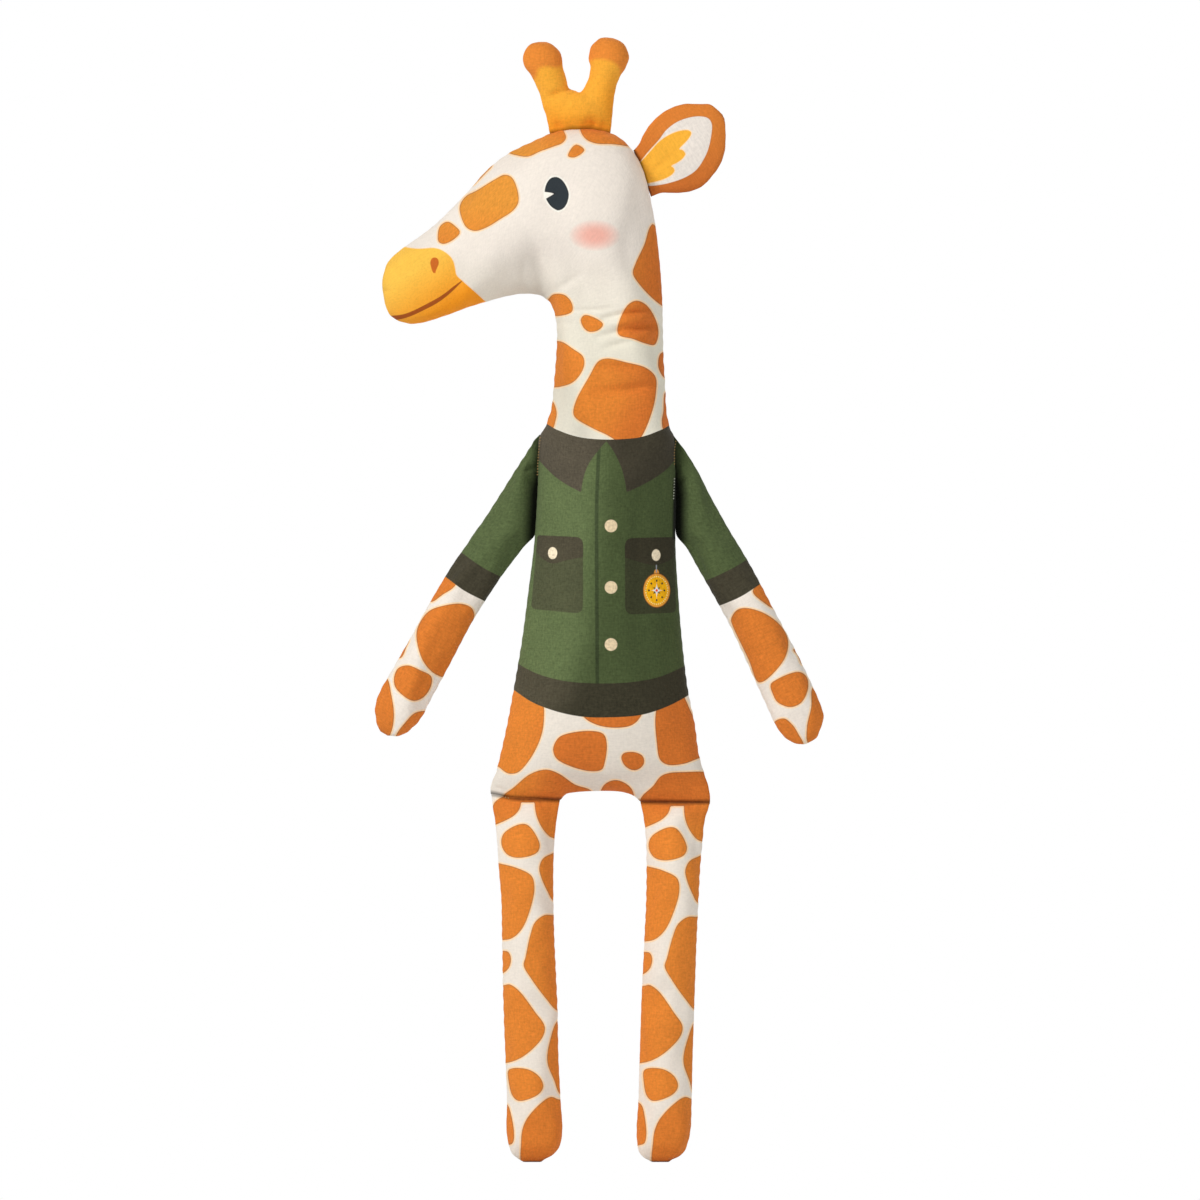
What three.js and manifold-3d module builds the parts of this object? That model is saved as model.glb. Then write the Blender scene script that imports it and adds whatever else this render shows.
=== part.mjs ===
// A stuffed cloth giraffe in a printed jacket, upright, facing -Y, with its nose towards -X.
// It is sewn from flat panels whose seam lies in the plane Y = 0, and each stuffed piece swells from that seam.
// Millimetres, +Z up. The origin is on the floor, midway between the soles.
import * as THREE from "three";
import { mergeVertices } from "three/addons/utils/BufferGeometryUtils.js";
import Module from "manifold-3d";

const wasm = await Module();
wasm.setup();

// Cloth and seams
const SEAM_THICKNESS = 1.2; // two layers of cloth sewn flat
const SEAT_GAP = 0.45; // clearance between two pieces that a seam joins
const HINGE_DROP = 0.75; // from a sewn edge to the line that the limb on it swings about

// Torso
const TORSO_HEIGHT = 216.6; // hip seam to collar
const HIP_WIDTH = 132;
const CHEST_WIDTH = 85;
const TORSO_DEPTH = 65;

// Neck
const NECK_HEIGHT = 60.6;
const NECK_WIDTH = 63.6;
const NECK_DEPTH = 50;
const NECK_LEAN = 2.2; // how far the top of the neck sits towards the back of the head

// Head
const HEAD_LENGTH = 168; // lips to the back of the head
const HEAD_HEIGHT = 124.2; // top of the neck to the crown
const HEAD_DEPTH = 60.6;

// Horns
const HORNS_HEIGHT = 57.9;
const HORNS_BASE_WIDTH = 37.8;
const HORN_DEPTH = 20.4;
const HORNS_TILT = 25; // degrees that they lean each way at their seam, which their underside is tapered for

// Ear
const EAR_LENGTH = 55.2;
const EAR_DEPTH = 9;
const EAR_SEAM_LENGTH = 27;

// Arms
const ARM_LENGTH = 145.5; // armpit to fingertips
const ARM_WIDTH = 28.8;
const ARM_DEPTH = 25.2;
const ARM_SPLAY_RIGHT = 31.2; // degrees from straight down, of the arm on the nose's side
const ARM_SPLAY_LEFT = 27.9;
const SHOULDER_FLANGE = 3.2; // flat cloth between the shoulder seam and the filling

// Legs
const LEG_LENGTH = 219.3;
const LEG_WIDTH = 32.4;
const LEG_DEPTH = 27.6;
const LEG_LEAN = 5.4; // how much nearer the middle the foot is than the hip
const SOLE_TRIM = 0.9; // how much of the rounded toe is pressed flat by the floor

// Points round each section, and sections along each piece
const RING_POINTS = 18;
const TORSO_STEPS = 20;
const NECK_STEPS = 12;
const HEAD_STEPS = 28;
const LIMB_STEPS = 26;
const HORN_STEPS = 15;
const EAR_STEPS = 14;

const CREAM = 0xefe6dc;
const JACKET_GREEN = 0x4f6b3e;
const PATCH_ORANGE = 0xd9792c;
const HORN_AMBER = 0xf2a533;

// Where the pieces meet
const HIP_HEIGHT = LEG_LENGTH - SOLE_TRIM + SEAT_GAP;
const COLLAR_HEIGHT = HIP_HEIGHT + TORSO_HEIGHT;
const NECK_TOP = COLLAR_HEIGHT + NECK_HEIGHT;
const SEAM_HALF = SEAM_THICKNESS / 2;

// One section: two seam points in the plane Y = 0, the half depth between them, and how sharply the first end is pinched.
const section = (firstX, firstZ, lastX, lastZ, depth, pinch = 0) => ({
  first: new THREE.Vector2(firstX, firstZ),
  last: new THREE.Vector2(lastX, lastZ),
  depth,
  pinch,
});

// Sections at even steps along smooth curves through the given ones.
function smoothSections(rows, steps) {
  const curve = (pick) => new THREE.CatmullRomCurve3(rows.map(pick));
  const firsts = curve((r) => new THREE.Vector3(r.first.x, r.first.y, r.depth));
  const lasts = curve((r) => new THREE.Vector3(r.last.x, r.last.y, r.depth));
  const pinches = curve((r) => new THREE.Vector3(r.pinch, 0, 0));
  return Array.from({ length: steps + 1 }, (_, i) => {
    const a = firsts.getPoint(i / steps);
    const b = lasts.getPoint(i / steps);
    return section(a.x, a.y, b.x, b.y, (a.z + b.z) / 2, pinches.getPoint(i / steps).x);
  });
}

// The points round one section: an ellipse, drawn in to a thin wedge at its first end where it is pinched.
function ringOf({ first, last, depth, pinch }, grow) {
  const middle = first.clone().add(last).divideScalar(2);
  const along = last.clone().sub(first);
  const half = along.length() / 2;
  along.normalize();
  return Array.from({ length: RING_POINTS }, (_, i) => {
    const turn = (2 * Math.PI * i) / RING_POINTS;
    const reach = (half + grow) * Math.cos(turn);
    const wedge = Math.sqrt((1 + Math.cos(turn)) / 2);
    const swell = (depth + grow) * Math.sin(turn) * THREE.MathUtils.lerp(1, wedge, pinch);
    return new THREE.Vector3(middle.x + along.x * reach, swell, middle.y + along.y * reach);
  });
}

// A closed stuffed shape through its sections. The two ends are flat.
function stuffed(sections, grow = 0) {
  const rings = sections.map((s) => ringOf(s, grow));
  const points = rings.flat();
  const faces = [];
  for (let r = 0; r + 1 < rings.length; r++) {
    for (let i = 0; i < RING_POINTS; i++) {
      const here = r * RING_POINTS + i;
      const next = r * RING_POINTS + ((i + 1) % RING_POINTS);
      faces.push(here, here + RING_POINTS, next);
      faces.push(next, here + RING_POINTS, next + RING_POINTS);
    }
  }
  const closeEnd = (r, turned) => {
    const middle = rings[r].reduce((sum, p) => sum.add(p), new THREE.Vector3()).divideScalar(RING_POINTS);
    const centre = points.push(middle) - 1;
    for (let i = 0; i < RING_POINTS; i++) {
      const edge = [r * RING_POINTS + i, r * RING_POINTS + ((i + 1) % RING_POINTS)];
      faces.push(centre, ...(turned ? edge.reverse() : edge));
    }
  };
  closeEnd(0, false);
  closeEnd(rings.length - 1, true);
  return facingOut(new THREE.BufferGeometry().setFromPoints(points).setIndex(faces));
}

// The same faces, turned round if they enclose a negative volume.
function facingOut(geometry) {
  const at = geometry.getAttribute("position");
  const index = geometry.getIndex();
  const corner = (i) => new THREE.Vector3().fromBufferAttribute(at, index.getX(i));
  let volume = 0;
  for (let i = 0; i < index.count; i += 3) volume += corner(i).dot(corner(i + 1).cross(corner(i + 2)));
  if (volume < 0) geometry.setIndex(Array.from(index.array).reverse());
  return geometry;
}

function solidOf(geometry) {
  const bare = new THREE.BufferGeometry().setAttribute("position", geometry.getAttribute("position"));
  if (geometry.getIndex()) bare.setIndex(geometry.getIndex());
  const merged = mergeVertices(bare);
  const mesh = new wasm.Mesh({
    numProp: 3,
    vertProperties: new Float32Array(merged.getAttribute("position").array),
    triVerts: new Uint32Array(merged.getIndex().array),
  });
  return new wasm.Manifold(mesh);
}

function geometryOf(solid) {
  const { numProp, vertProperties, triVerts } = solid.getMesh();
  const xyz = new Float32Array((vertProperties.length / numProp) * 3);
  for (let i = 0; i < xyz.length / 3; i++) xyz.set(vertProperties.subarray(i * numProp, i * numProp + 3), i * 3);
  return new THREE.BufferGeometry()
    .setAttribute("position", new THREE.BufferAttribute(xyz, 3))
    .setIndex(new THREE.BufferAttribute(triVerts, 1));
}

// Where a stuffed piece's seam runs at a given height, on its first or last side.
function seamAt(sections, side, height) {
  const above = Math.max(1, sections.findIndex((s) => s[side].y >= height));
  const [low, high] = [sections[above - 1][side], sections[above][side]];
  const share = (height - low.y) / (high.y - low.y);
  return low.clone().lerp(high, share);
}

// How high an edge that runs towards -X is at a given x.
function heightAlong(edge, x) {
  const after = Math.max(1, edge.findIndex((p) => p.x <= x));
  const [right, left] = [edge[after - 1], edge[after]];
  return THREE.MathUtils.mapLinear(x, left.x, right.x, left.y, right.y);
}

// Torso: rows are height, right seam, left seam and half depth. The seams are in shares of half a width.
const HIP_ROW_SHARES = [
  [0.028, -0.995, 0.986, 0.23],
  [0.064, -0.955, 0.95, 0.47],
  [0.119, -0.905, 0.9, 0.74],
  [0.199, -0.845, 0.864, 0.93],
  [0.296, -0.786, 0.8, 1],
];
const CHEST_ROW_SHARES = [
  [0.435, -1.102, 1.159, 1],
  [0.573, -1.005, 1.095, 0.98],
  [0.698, -0.933, 1.071, 0.96],
  [0.823, -0.905, 1.063, 0.94],
  [0.934, -0.88, 1.056, 0.9],
  [1, -0.865, 1.052, 0.85],
];

function torsoSections() {
  const row = (width) => ([height, right, left, depth]) => {
    const z = HIP_HEIGHT + height * TORSO_HEIGHT;
    return section((right * width) / 2, z, (left * width) / 2, z, (depth * TORSO_DEPTH) / 2);
  };
  const hem = section(-HIP_WIDTH / 2, HIP_HEIGHT, HIP_WIDTH / 2, HIP_HEIGHT, SEAM_HALF);
  const rows = [hem, ...HIP_ROW_SHARES.map(row(HIP_WIDTH)), ...CHEST_ROW_SHARES.map(row(CHEST_WIDTH))];
  return smoothSections(rows, TORSO_STEPS);
}

// Neck: rows are height, right seam, left seam and half depth, about the middle of the collar. Its last rows already
// turn about the throat, as the head's do, so that the head starts above the corner below the jaw.
const NECK_ROW_SHARES = [
  [0.079, -1.193, 1.212, 1.08],
  [0.158, -1.118, 1.165, 1.05],
  [0.238, -1.071, 1.146, 1.03],
  [0.396, -1.014, 1.127, 1],
  [0.752, -0.983, 1.055, 1],
];

const THROAT_ROW_SHARES = [
  [-0.196, 0.092, 0.186, 0.188, 0.85],
  [-0.211, 0.15, 0.175, 0.386, 0.89],
];

function throatSection(middle, [jawX, jawZ, crownX, crownZ, depth]) {
  return section(
    middle + jawX * HEAD_LENGTH,
    NECK_TOP + jawZ * HEAD_HEIGHT,
    middle + crownX * HEAD_LENGTH,
    NECK_TOP + crownZ * HEAD_HEIGHT,
    (depth * HEAD_DEPTH) / 2,
  );
}

function neckSections(collar) {
  const middle = (collar.first.x + collar.last.x) / 2;
  const base = section(
    collar.first.x, COLLAR_HEIGHT + SEAT_GAP, collar.last.x, COLLAR_HEIGHT + SEAT_GAP, collar.depth,
  );
  const half = NECK_WIDTH / 2;
  const swell = NECK_DEPTH / 2;
  const rows = NECK_ROW_SHARES.map(([height, right, left, depth]) => {
    const z = COLLAR_HEIGHT + height * NECK_HEIGHT;
    return section(middle + right * half, z, middle + left * half, z, depth * swell);
  });
  const lean = middle + NECK_LEAN;
  const top = section(lean - half, NECK_TOP, lean + half, NECK_TOP, swell);
  const throat = THROAT_ROW_SHARES.map((row) => throatSection(lean, row));
  return smoothSections([base, ...rows, top, ...throat], NECK_STEPS);
}

// Head: rows turn about the throat, from the neck round to the lips. Each is a point on the jaw, a point on the crown
// and half a depth. Points are in shares of the head's length and height from the middle of the neck's top.
const HEAD_ROW_SHARES = [
  [-0.229, 0.174, 0.154, 0.594, 0.95],
  [-0.246, 0.188, 0.107, 0.831, 0.99],
  [-0.268, 0.196, 0.036, 0.952, 1],
  [-0.293, 0.198, -0.064, 1, 1],
  [-0.321, 0.198, -0.179, 0.988, 0.99],
  [-0.354, 0.191, -0.286, 0.937, 0.96],
  [-0.393, 0.179, -0.371, 0.879, 0.91],
  [-0.475, 0.147, -0.5, 0.705, 0.78],
  [-0.564, 0.104, -0.621, 0.539, 0.65],
  [-0.657, 0.063, -0.725, 0.435, 0.55],
  [-0.707, 0.053, -0.764, 0.394, 0.5],
  [-0.75, 0.065, -0.793, 0.353, 0.42],
  [-0.779, 0.087, -0.807, 0.304, 0.32],
  [-0.8, 0.13, -0.814, 0.251, 0.18],
];

function headSections(neckEnd, middle) {
  const across = neckEnd.last.clone().sub(neckEnd.first).normalize();
  const lift = new THREE.Vector2(-across.y, across.x).multiplyScalar(SEAT_GAP);
  const [first, last] = [neckEnd.first.clone().add(lift), neckEnd.last.clone().add(lift)];
  const base = section(first.x, first.y, last.x, last.y, neckEnd.depth);
  return smoothSections([base, ...HEAD_ROW_SHARES.map((row) => throatSection(middle, row))], HEAD_STEPS);
}

// Horns: each horn's rows are its outer and inner seam points and half a depth, in shares of the base's width and the
// height, from the middle of the base. The two horns share the base, where their shapes run together.
const FRONT_HORN_ROW_SHARES = [
  [-0.49, -0.04, 0.25, -0.04, 0.4],
  [-0.505, 0.08, 0.19, 0.08, 0.58],
  [-0.528, 0.191, 0.135, 0.21, 0.72],
  [-0.565, 0.305, 0.071, 0.33, 0.79],
  [-0.622, 0.415, -0.024, 0.425, 0.79],
  [-0.705, 0.51, -0.183, 0.478, 0.82],
  [-0.83, 0.612, -0.272, 0.58, 0.94],
  [-0.897, 0.723, -0.278, 0.691, 1],
  [-0.881, 0.84, -0.31, 0.83, 0.88],
  [-0.786, 0.926, -0.421, 0.915, 0.59],
  [-0.659, 0.952, -0.532, 0.952, 0.24],
];
const BACK_HORN_ROW_SHARES = [
  [-0.25, -0.04, 0.49, -0.04, 0.4],
  [-0.2, 0.09, 0.498, 0.09, 0.58],
  [-0.135, 0.22, 0.51, 0.22, 0.72],
  [-0.056, 0.34, 0.53, 0.36, 0.79],
  [0.04, 0.436, 0.565, 0.487, 0.79],
  [0.125, 0.56, 0.62, 0.59, 0.82],
  [0.14, 0.686, 0.71, 0.686, 0.94],
  [0.13, 0.79, 0.765, 0.78, 1],
  [0.183, 0.899, 0.738, 0.883, 0.88],
  [0.294, 0.979, 0.643, 0.957, 0.59],
  [0.405, 1, 0.532, 0.989, 0.24],
];

function horn(rowShares) {
  const rows = rowShares.map(([x1, z1, x2, z2, depth]) =>
    section(
      x1 * HORNS_BASE_WIDTH, z1 * HORNS_HEIGHT, x2 * HORNS_BASE_WIDTH, z2 * HORNS_HEIGHT, (depth * HORN_DEPTH) / 2,
    ),
  );
  return solidOf(stuffed(smoothSections(rows, HORN_STEPS)));
}

// Ear: rows are an upper and a lower seam point and half a depth, in shares of the ear's length, from the middle of
// the seam that holds it. They turn from that seam out to the tip.
const EAR_ROW_SHARES = [
  [0.065, 0.543, 0.5, -0.158, 0.93],
  [0.174, 0.652, 0.63, -0.109, 1],
  [0.293, 0.723, 0.739, 0, 1],
  [0.435, 0.766, 0.826, 0.109, 0.93],
  [0.587, 0.766, 0.875, 0.25, 0.8],
  [0.717, 0.761, 0.891, 0.413, 0.6],
  [0.804, 0.696, 0.886, 0.543, 0.4],
  [0.842, 0.652, 0.87, 0.609, 0.2],
];
const EAR_SEAM_LEAN_SHARE = 0.38; // how far the seam leans back over its length
const EAR_THROAT_SHARES = [
  [-0.055, 0.32, 0.196, -0.212, 0.5],
  [-0.005, 0.43, 0.348, -0.19, 0.8],
];

function ear() {
  const lean = (EAR_SEAM_LENGTH * EAR_SEAM_LEAN_SHARE) / 2;
  const rise = EAR_SEAM_LENGTH / 2;
  const seam = section(-lean, rise, lean, -rise, SEAM_HALF);
  const rows = [...EAR_THROAT_SHARES, ...EAR_ROW_SHARES].map(([x1, z1, x2, z2, depth]) =>
    section(x1 * EAR_LENGTH, z1 * EAR_LENGTH, x2 * EAR_LENGTH, z2 * EAR_LENGTH, (depth * EAR_DEPTH) / 2),
  );
  return solidOf(stuffed(smoothSections([seam, ...rows], EAR_STEPS)));
}

// Arms. Above the armpit the sections run from the shoulder seam to the sleeve's outer edge: rows are the way down
// the seam and half a depth. Below it they cross the arm: rows are the way along it, the inner and outer edges in
// shares of its width from the armpit's line, and half a depth.
const SHOULDER_ROW_SHARES = [
  [0.11, 0.05],
  [0.19, 0.34],
  [0.38, 0.7],
  [0.6, 0.96],
  [0.82, 1.08],
];
const ARM_ROW_SHARES = [
  [0.15, 0.17, 1.125, 1.04],
  [0.25, 0.2, 1.145, 1],
  [0.41, 0.22, 1.14, 0.98],
  [0.62, 0.16, 1.115, 0.98],
  [0.78, 0.105, 1.1, 0.98],
  [0.866, 0.09, 1.07, 0.95],
  [0.924, 0.17, 1.02, 0.81],
  [0.965, 0.27, 0.89, 0.57],
  [0.99, 0.42, 0.7, 0.29],
  [1, 0.5, 0.6, 0.1],
];
const ARMPIT_CORNER_SHARES = [0.03, 0.16]; // where the underarm starts, along and across the arm
const SLEEVE_CORNER_SHARES = [0.085, 1.095]; // where the shoulder's slope meets the sleeve's outer edge
const FLANGE_OVERLAP = 4; // how far the flat cloth runs into the filled sleeve

// side is 1 for the giraffe's left arm, at +X, and -1 for its right arm. The group's origin is the armpit.
function arm(side, shoulderTop, armpit, splay) {
  const angle = THREE.MathUtils.degToRad(splay);
  const down = new THREE.Vector2(side * Math.sin(angle), -Math.cos(angle));
  const outward = new THREE.Vector2(side * Math.cos(angle), Math.sin(angle));
  const seamTop = shoulderTop.clone().sub(armpit);
  const reach = (along, across) =>
    down.clone().multiplyScalar(along * ARM_LENGTH).add(outward.clone().multiplyScalar(across * ARM_WIDTH));
  const sleeveEdge = reach(...SLEEVE_CORNER_SHARES);
  const underarm = reach(...ARMPIT_CORNER_SHARES);
  const inset = new THREE.Vector2(side * SHOULDER_FLANGE, 0);
  const slope = (way) => seamTop.clone().lerp(sleeveEdge, way);
  const row = (first, last, depth, pinch) =>
    section(first.x, first.y, last.x, last.y, (depth * ARM_DEPTH) / 2, pinch);
  const upper = SHOULDER_ROW_SHARES.map(([way, depth]) =>
    row(seamTop.clone().multiplyScalar(1 - way).add(inset), slope(way), depth, 1),
  );
  const lower = ARM_ROW_SHARES.map(([along, inner, outer, depth]) =>
    row(reach(along, inner), reach(along, outer), depth, 0),
  );
  const crossing = row(underarm, sleeveEdge, ARM_ROW_SHARES[0].at(-1), 1);
  const filled = solidOf(stuffed(smoothSections([...upper, crossing, ...lower], LIMB_STEPS)));
  const flangeReach = SHOULDER_FLANGE + FLANGE_OVERLAP;
  const shoulderWidth = Math.abs(sleeveEdge.x - seamTop.x);
  const flangeOutline = new THREE.Shape([
    seamTop,
    slope(flangeReach / shoulderWidth),
    underarm,
    new THREE.Vector2(0, 0),
  ]);
  const flange = new THREE.ExtrudeGeometry(flangeOutline, { depth: SEAM_THICKNESS, bevelEnabled: false });
  flange.translate(0, 0, -SEAM_HALF).rotateX(Math.PI / 2);
  return geometryOf(filled.add(solidOf(flange)));
}

// Legs: rows are the way down, the outer and inner seams in shares of half a width about a line that leans inwards,
// and half a depth. The top is flat, where the hip seam holds it, and the toe is rounded.
const LEG_ROW_SHARES = [
  [0.012, 1.26, 1.27, 0.09],
  [0.03, 1.25, 1.21, 0.26],
  [0.066, 1.17, 1.108, 0.58],
  [0.121, 1.114, 1.016, 0.84],
  [0.184, 1.08, 0.958, 0.95],
  [0.282, 1, 0.925, 1],
  [0.392, 1.027, 0.925, 1],
  [0.556, 1.029, 0.982, 1],
  [0.721, 0.981, 0.982, 1],
  [0.83, 0.981, 1.019, 1.02],
  [0.912, 1.026, 1.048, 1.02],
  [0.951, 0.965, 0.961, 0.96],
  [0.975, 0.843, 0.806, 0.76],
  [0.991, 0.645, 0.5, 0.45],
  [1, 0.389, 0.26, 0.16],
];
const LEG_TOP_SHARE = 1.28;

// side is 1 for the giraffe's left leg, at +X, and -1 for its right leg. The group's origin is the hinge line's middle.
function leg(side) {
  const half = LEG_WIDTH / 2;
  const row = ([way, outer, inner, depth]) => {
    const middle = -side * way * LEG_LEAN;
    const z = HINGE_DROP - SEAT_GAP - way * LEG_LENGTH;
    return section(
      middle + side * outer * half, z, middle - side * inner * half, z, Math.max(SEAM_HALF, (depth * LEG_DEPTH) / 2),
    );
  };
  const top = row([0, LEG_TOP_SHARE, LEG_TOP_SHARE, 0]);
  const filled = solidOf(stuffed(smoothSections([top, ...LEG_ROW_SHARES.map(row)], LIMB_STEPS)));
  const floorHeight = HINGE_DROP - HIP_HEIGHT;
  const floor = new THREE.BoxGeometry(2 * HIP_WIDTH, 2 * HIP_WIDTH, LEG_LENGTH);
  floor.translate(0, 0, floorHeight - LEG_LENGTH / 2);
  return geometryOf(filled.subtract(solidOf(floor)));
}

const giraffe = new THREE.Group();

function addPiece(name, geometry, colour, place = new THREE.Vector3()) {
  const material = new THREE.MeshStandardMaterial({ color: colour, roughness: 0.9, metalness: 0 });
  const piece = new THREE.Mesh(geometry, material);
  piece.name = name;
  piece.position.copy(place);
  giraffe.add(piece);
  return piece;
}

const torso = torsoSections();
const collar = torso[torso.length - 1];
const headMiddle = (collar.first.x + collar.last.x) / 2 + NECK_LEAN;
const neck = neckSections(collar);
const head = headSections(neck[neck.length - 1], headMiddle);
const headSolid = solidOf(stuffed(head));
const headWithGap = solidOf(stuffed(head, SEAT_GAP));

addPiece("torso", stuffed(torso), JACKET_GREEN);
addPiece("neck", stuffed(neck), CREAM);
addPiece("head", geometryOf(headSolid), CREAM);

// The horns stand on the crown, above the section that runs from the jaw to the head's highest point.
const CROWN_SPAN_SHARES = [-0.221, 0.004]; // where the horns' base starts and ends, from the neck's middle
const crownMiddle = headMiddle + ((CROWN_SPAN_SHARES[0] + CROWN_SPAN_SHARES[1]) / 2) * HEAD_LENGTH;
const crown = head.map((s) => s.last).filter((p) => p.y > NECK_TOP + HEAD_HEIGHT / 2);
const crownEnds = [-1, 1].map((end) => heightAlong(crown, crownMiddle + (end * HORNS_BASE_WIDTH) / 2));
const hornsPlace = new THREE.Vector3(crownMiddle, 0, Math.min(...crownEnds));
const hornsHinge = Math.max(...crown.map((p) => p.y)) + SEAM_HALF / 2 - hornsPlace.z;
const headBelowHorns = headWithGap.translate(hornsPlace.clone().negate().toArray());
const leaningHead = (tilt) => headBelowHorns.translate([0, 0, -hornsHinge]).rotate([tilt, 0, 0]).translate([0, 0, hornsHinge]);
const horns = [0, -HORNS_TILT, HORNS_TILT].reduce(
  (solid, tilt) => solid.subtract(leaningHead(tilt)),
  horn(FRONT_HORN_ROW_SHARES).add(horn(BACK_HORN_ROW_SHARES)),
);
addPiece("horns", geometryOf(horns), HORN_AMBER, hornsPlace);

// The ear is held in the seam at the back of the head.
const EAR_HEIGHT_SHARE = 0.778; // the middle of its seam, up the head
const earSeam = head.filter((s) => s.last.x > headMiddle).map((s) => ({ edge: s.last }));
const earMiddle = seamAt(earSeam, "edge", NECK_TOP + EAR_HEIGHT_SHARE * HEAD_HEIGHT);
const earPlace = new THREE.Vector3(earMiddle.x + HINGE_DROP, 0, earMiddle.y);
const headBesideEar = headWithGap.translate(earPlace.clone().negate().toArray());
addPiece("ear", geometryOf(ear().subtract(headBesideEar)), PATCH_ORANGE, earPlace);

// Each arm is sewn along the torso's side seam, from just under the collar down to the armpit.
const SHOULDER_TOP_SHARE = 0.997;
const ARMPIT_SHARE = 0.709;
const ARMS = [
  { name: "arm_right", side: -1, seam: "first", splay: ARM_SPLAY_RIGHT },
  { name: "arm_left", side: 1, seam: "last", splay: ARM_SPLAY_LEFT },
];
for (const { name, side, seam, splay } of ARMS) {
  const beside = (share) => {
    const edge = seamAt(torso, seam, HIP_HEIGHT + share * TORSO_HEIGHT);
    return new THREE.Vector2(edge.x + side * SEAT_GAP, edge.y);
  };
  const armpit = beside(ARMPIT_SHARE);
  const place = new THREE.Vector3(armpit.x, 0, armpit.y);
  addPiece(name, arm(side, beside(SHOULDER_TOP_SHARE), armpit, splay), JACKET_GREEN, place);
}

// Each leg is sewn flat into the hip seam, at the torso's lower corners.
const LEG_INSET = 0.6; // from the torso's corner to the leg's outer edge
const legMiddle = HIP_WIDTH / 2 - LEG_INSET - (LEG_TOP_SHARE * LEG_WIDTH) / 2;
for (const [name, side] of [["leg_right", -1], ["leg_left", 1]]) {
  const place = new THREE.Vector3(side * legMiddle, 0, HIP_HEIGHT - HINGE_DROP);
  addPiece(name, leg(side), PATCH_ORANGE, place);
}

export default giraffe;
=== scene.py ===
"""A stuffed cloth giraffe in a printed jacket.

It is sewn from flat printed panels whose seam lies in the plane Y = 0. Each stuffed piece is a loft between the two
sides of that seam, settled as cloth except the horns, and its print is painted by distances to smooth outlines. Rows
and outlines are given in steps of the front view: columns from its left edge and rows from its top, 1200 of each.
"""
import math

import bpy
import numpy as np
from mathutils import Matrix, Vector


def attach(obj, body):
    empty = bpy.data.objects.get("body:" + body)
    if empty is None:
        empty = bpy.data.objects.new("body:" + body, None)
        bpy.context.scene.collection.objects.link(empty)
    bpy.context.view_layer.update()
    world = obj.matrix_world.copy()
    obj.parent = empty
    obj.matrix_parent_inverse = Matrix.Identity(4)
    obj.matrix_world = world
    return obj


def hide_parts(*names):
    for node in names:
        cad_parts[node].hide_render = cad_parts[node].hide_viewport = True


bl_info = {
    "name": "Stuffed giraffe",
    "version": (1, 0, 0),
    "blender": (4, 5, 0),
    "location": "View3D > Sidebar > Giraffe",
    "description": "A stuffed cloth giraffe in a printed jacket",
    "category": "Add Mesh",
}

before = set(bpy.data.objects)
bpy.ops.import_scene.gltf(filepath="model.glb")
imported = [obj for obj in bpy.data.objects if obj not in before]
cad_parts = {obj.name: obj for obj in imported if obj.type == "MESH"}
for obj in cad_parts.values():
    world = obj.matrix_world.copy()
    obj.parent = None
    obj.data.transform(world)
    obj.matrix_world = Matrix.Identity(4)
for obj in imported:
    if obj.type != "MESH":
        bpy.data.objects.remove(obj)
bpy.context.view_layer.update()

# The front view: metres to a step, the column at X = 0, the row of the floor, and steps across the view
STEP = 0.0006
CENTRE_COLUMN = 600
FLOOR_ROW = 1162
VIEW_STEPS = 1200
MM = 0.001
STEP_MM = STEP / MM

# Torso rows, from the hip seam up: right seam, left seam, half depth
TORSO_ROWS = [
    (490.8, 798.9, 709.8, 804, 0),
    (490.3, 796.4, 710.4, 801.2, 5.5),
    (490.1, 791, 710.4, 794.4, 13.5),
    (491.8, 783, 708, 783.4, 21),
    (495.6, 773, 704.5, 773.6, 29),
    (500.5, 754, 699, 754, 40),
    (507, 725, 695, 725, 50),
    (513.5, 690, 688, 690, 54),
    (522, 640, 682, 640, 54),
    (528.5, 590, 678, 590, 53),
    (534, 545, 675.5, 545, 52),
    (537, 500, 676, 500, 51),
    (538.5, 460, 675, 460, 49),
    (539.2, 436.5, 673.9, 436.5, 46),
]
# Neck rows, from the collar up
NECK_ROWS = [
    (543.4, 430.2, 671.1, 430.7, 45.5),
    (546, 425, 669.4, 425.4, 45),
    (548.2, 418.5, 667.8, 418.5, 44),
    (551.2, 409, 666.4, 409, 43),
    (552.9, 396, 665.7, 396, 41.7),
    (554.2, 380, 665, 380, 41.7),
    (555.8, 360, 663.7, 360, 41.7),
    (557, 335, 663, 335, 41.7),
]
# Head rows turn about the throat, from the neck round to the lips: jaw, crown, half depth
HEAD_ROWS = [
    (555.1, 316, 662.1, 296.1, 43),
    (550.9, 304, 659, 255.1, 45),
    (545.9, 299, 653.1, 212, 48),
    (541.1, 296.1, 640, 163, 50),
    (535, 294.4, 620.1, 137.9, 50.5),
    (528, 294, 592.1, 128.4, 50.5),
    (520.1, 294, 559.9, 130.5, 50),
    (510.9, 295.5, 530.8, 142.2, 48.5),
    (500, 297.9, 507, 154.2, 46),
    (489, 301.1, 487.1, 170, 43),
    (477, 304.6, 470, 189.1, 39.5),
    (465, 308.5, 452.9, 207.1, 36),
    (452.1, 313.5, 436.1, 223.4, 33),
    (438.9, 318, 419.9, 236.1, 30.5),
    (426, 322, 407, 245, 28),
    (412, 324, 396.1, 253.4, 25.5),
    (400, 321.5, 388, 261.9, 21.2),
    (391.9, 317, 384, 272.1, 16),
    (387, 310, 382.2, 283, 9),
    (384.8, 303.5, 382.4, 289, 0),
]
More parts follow.
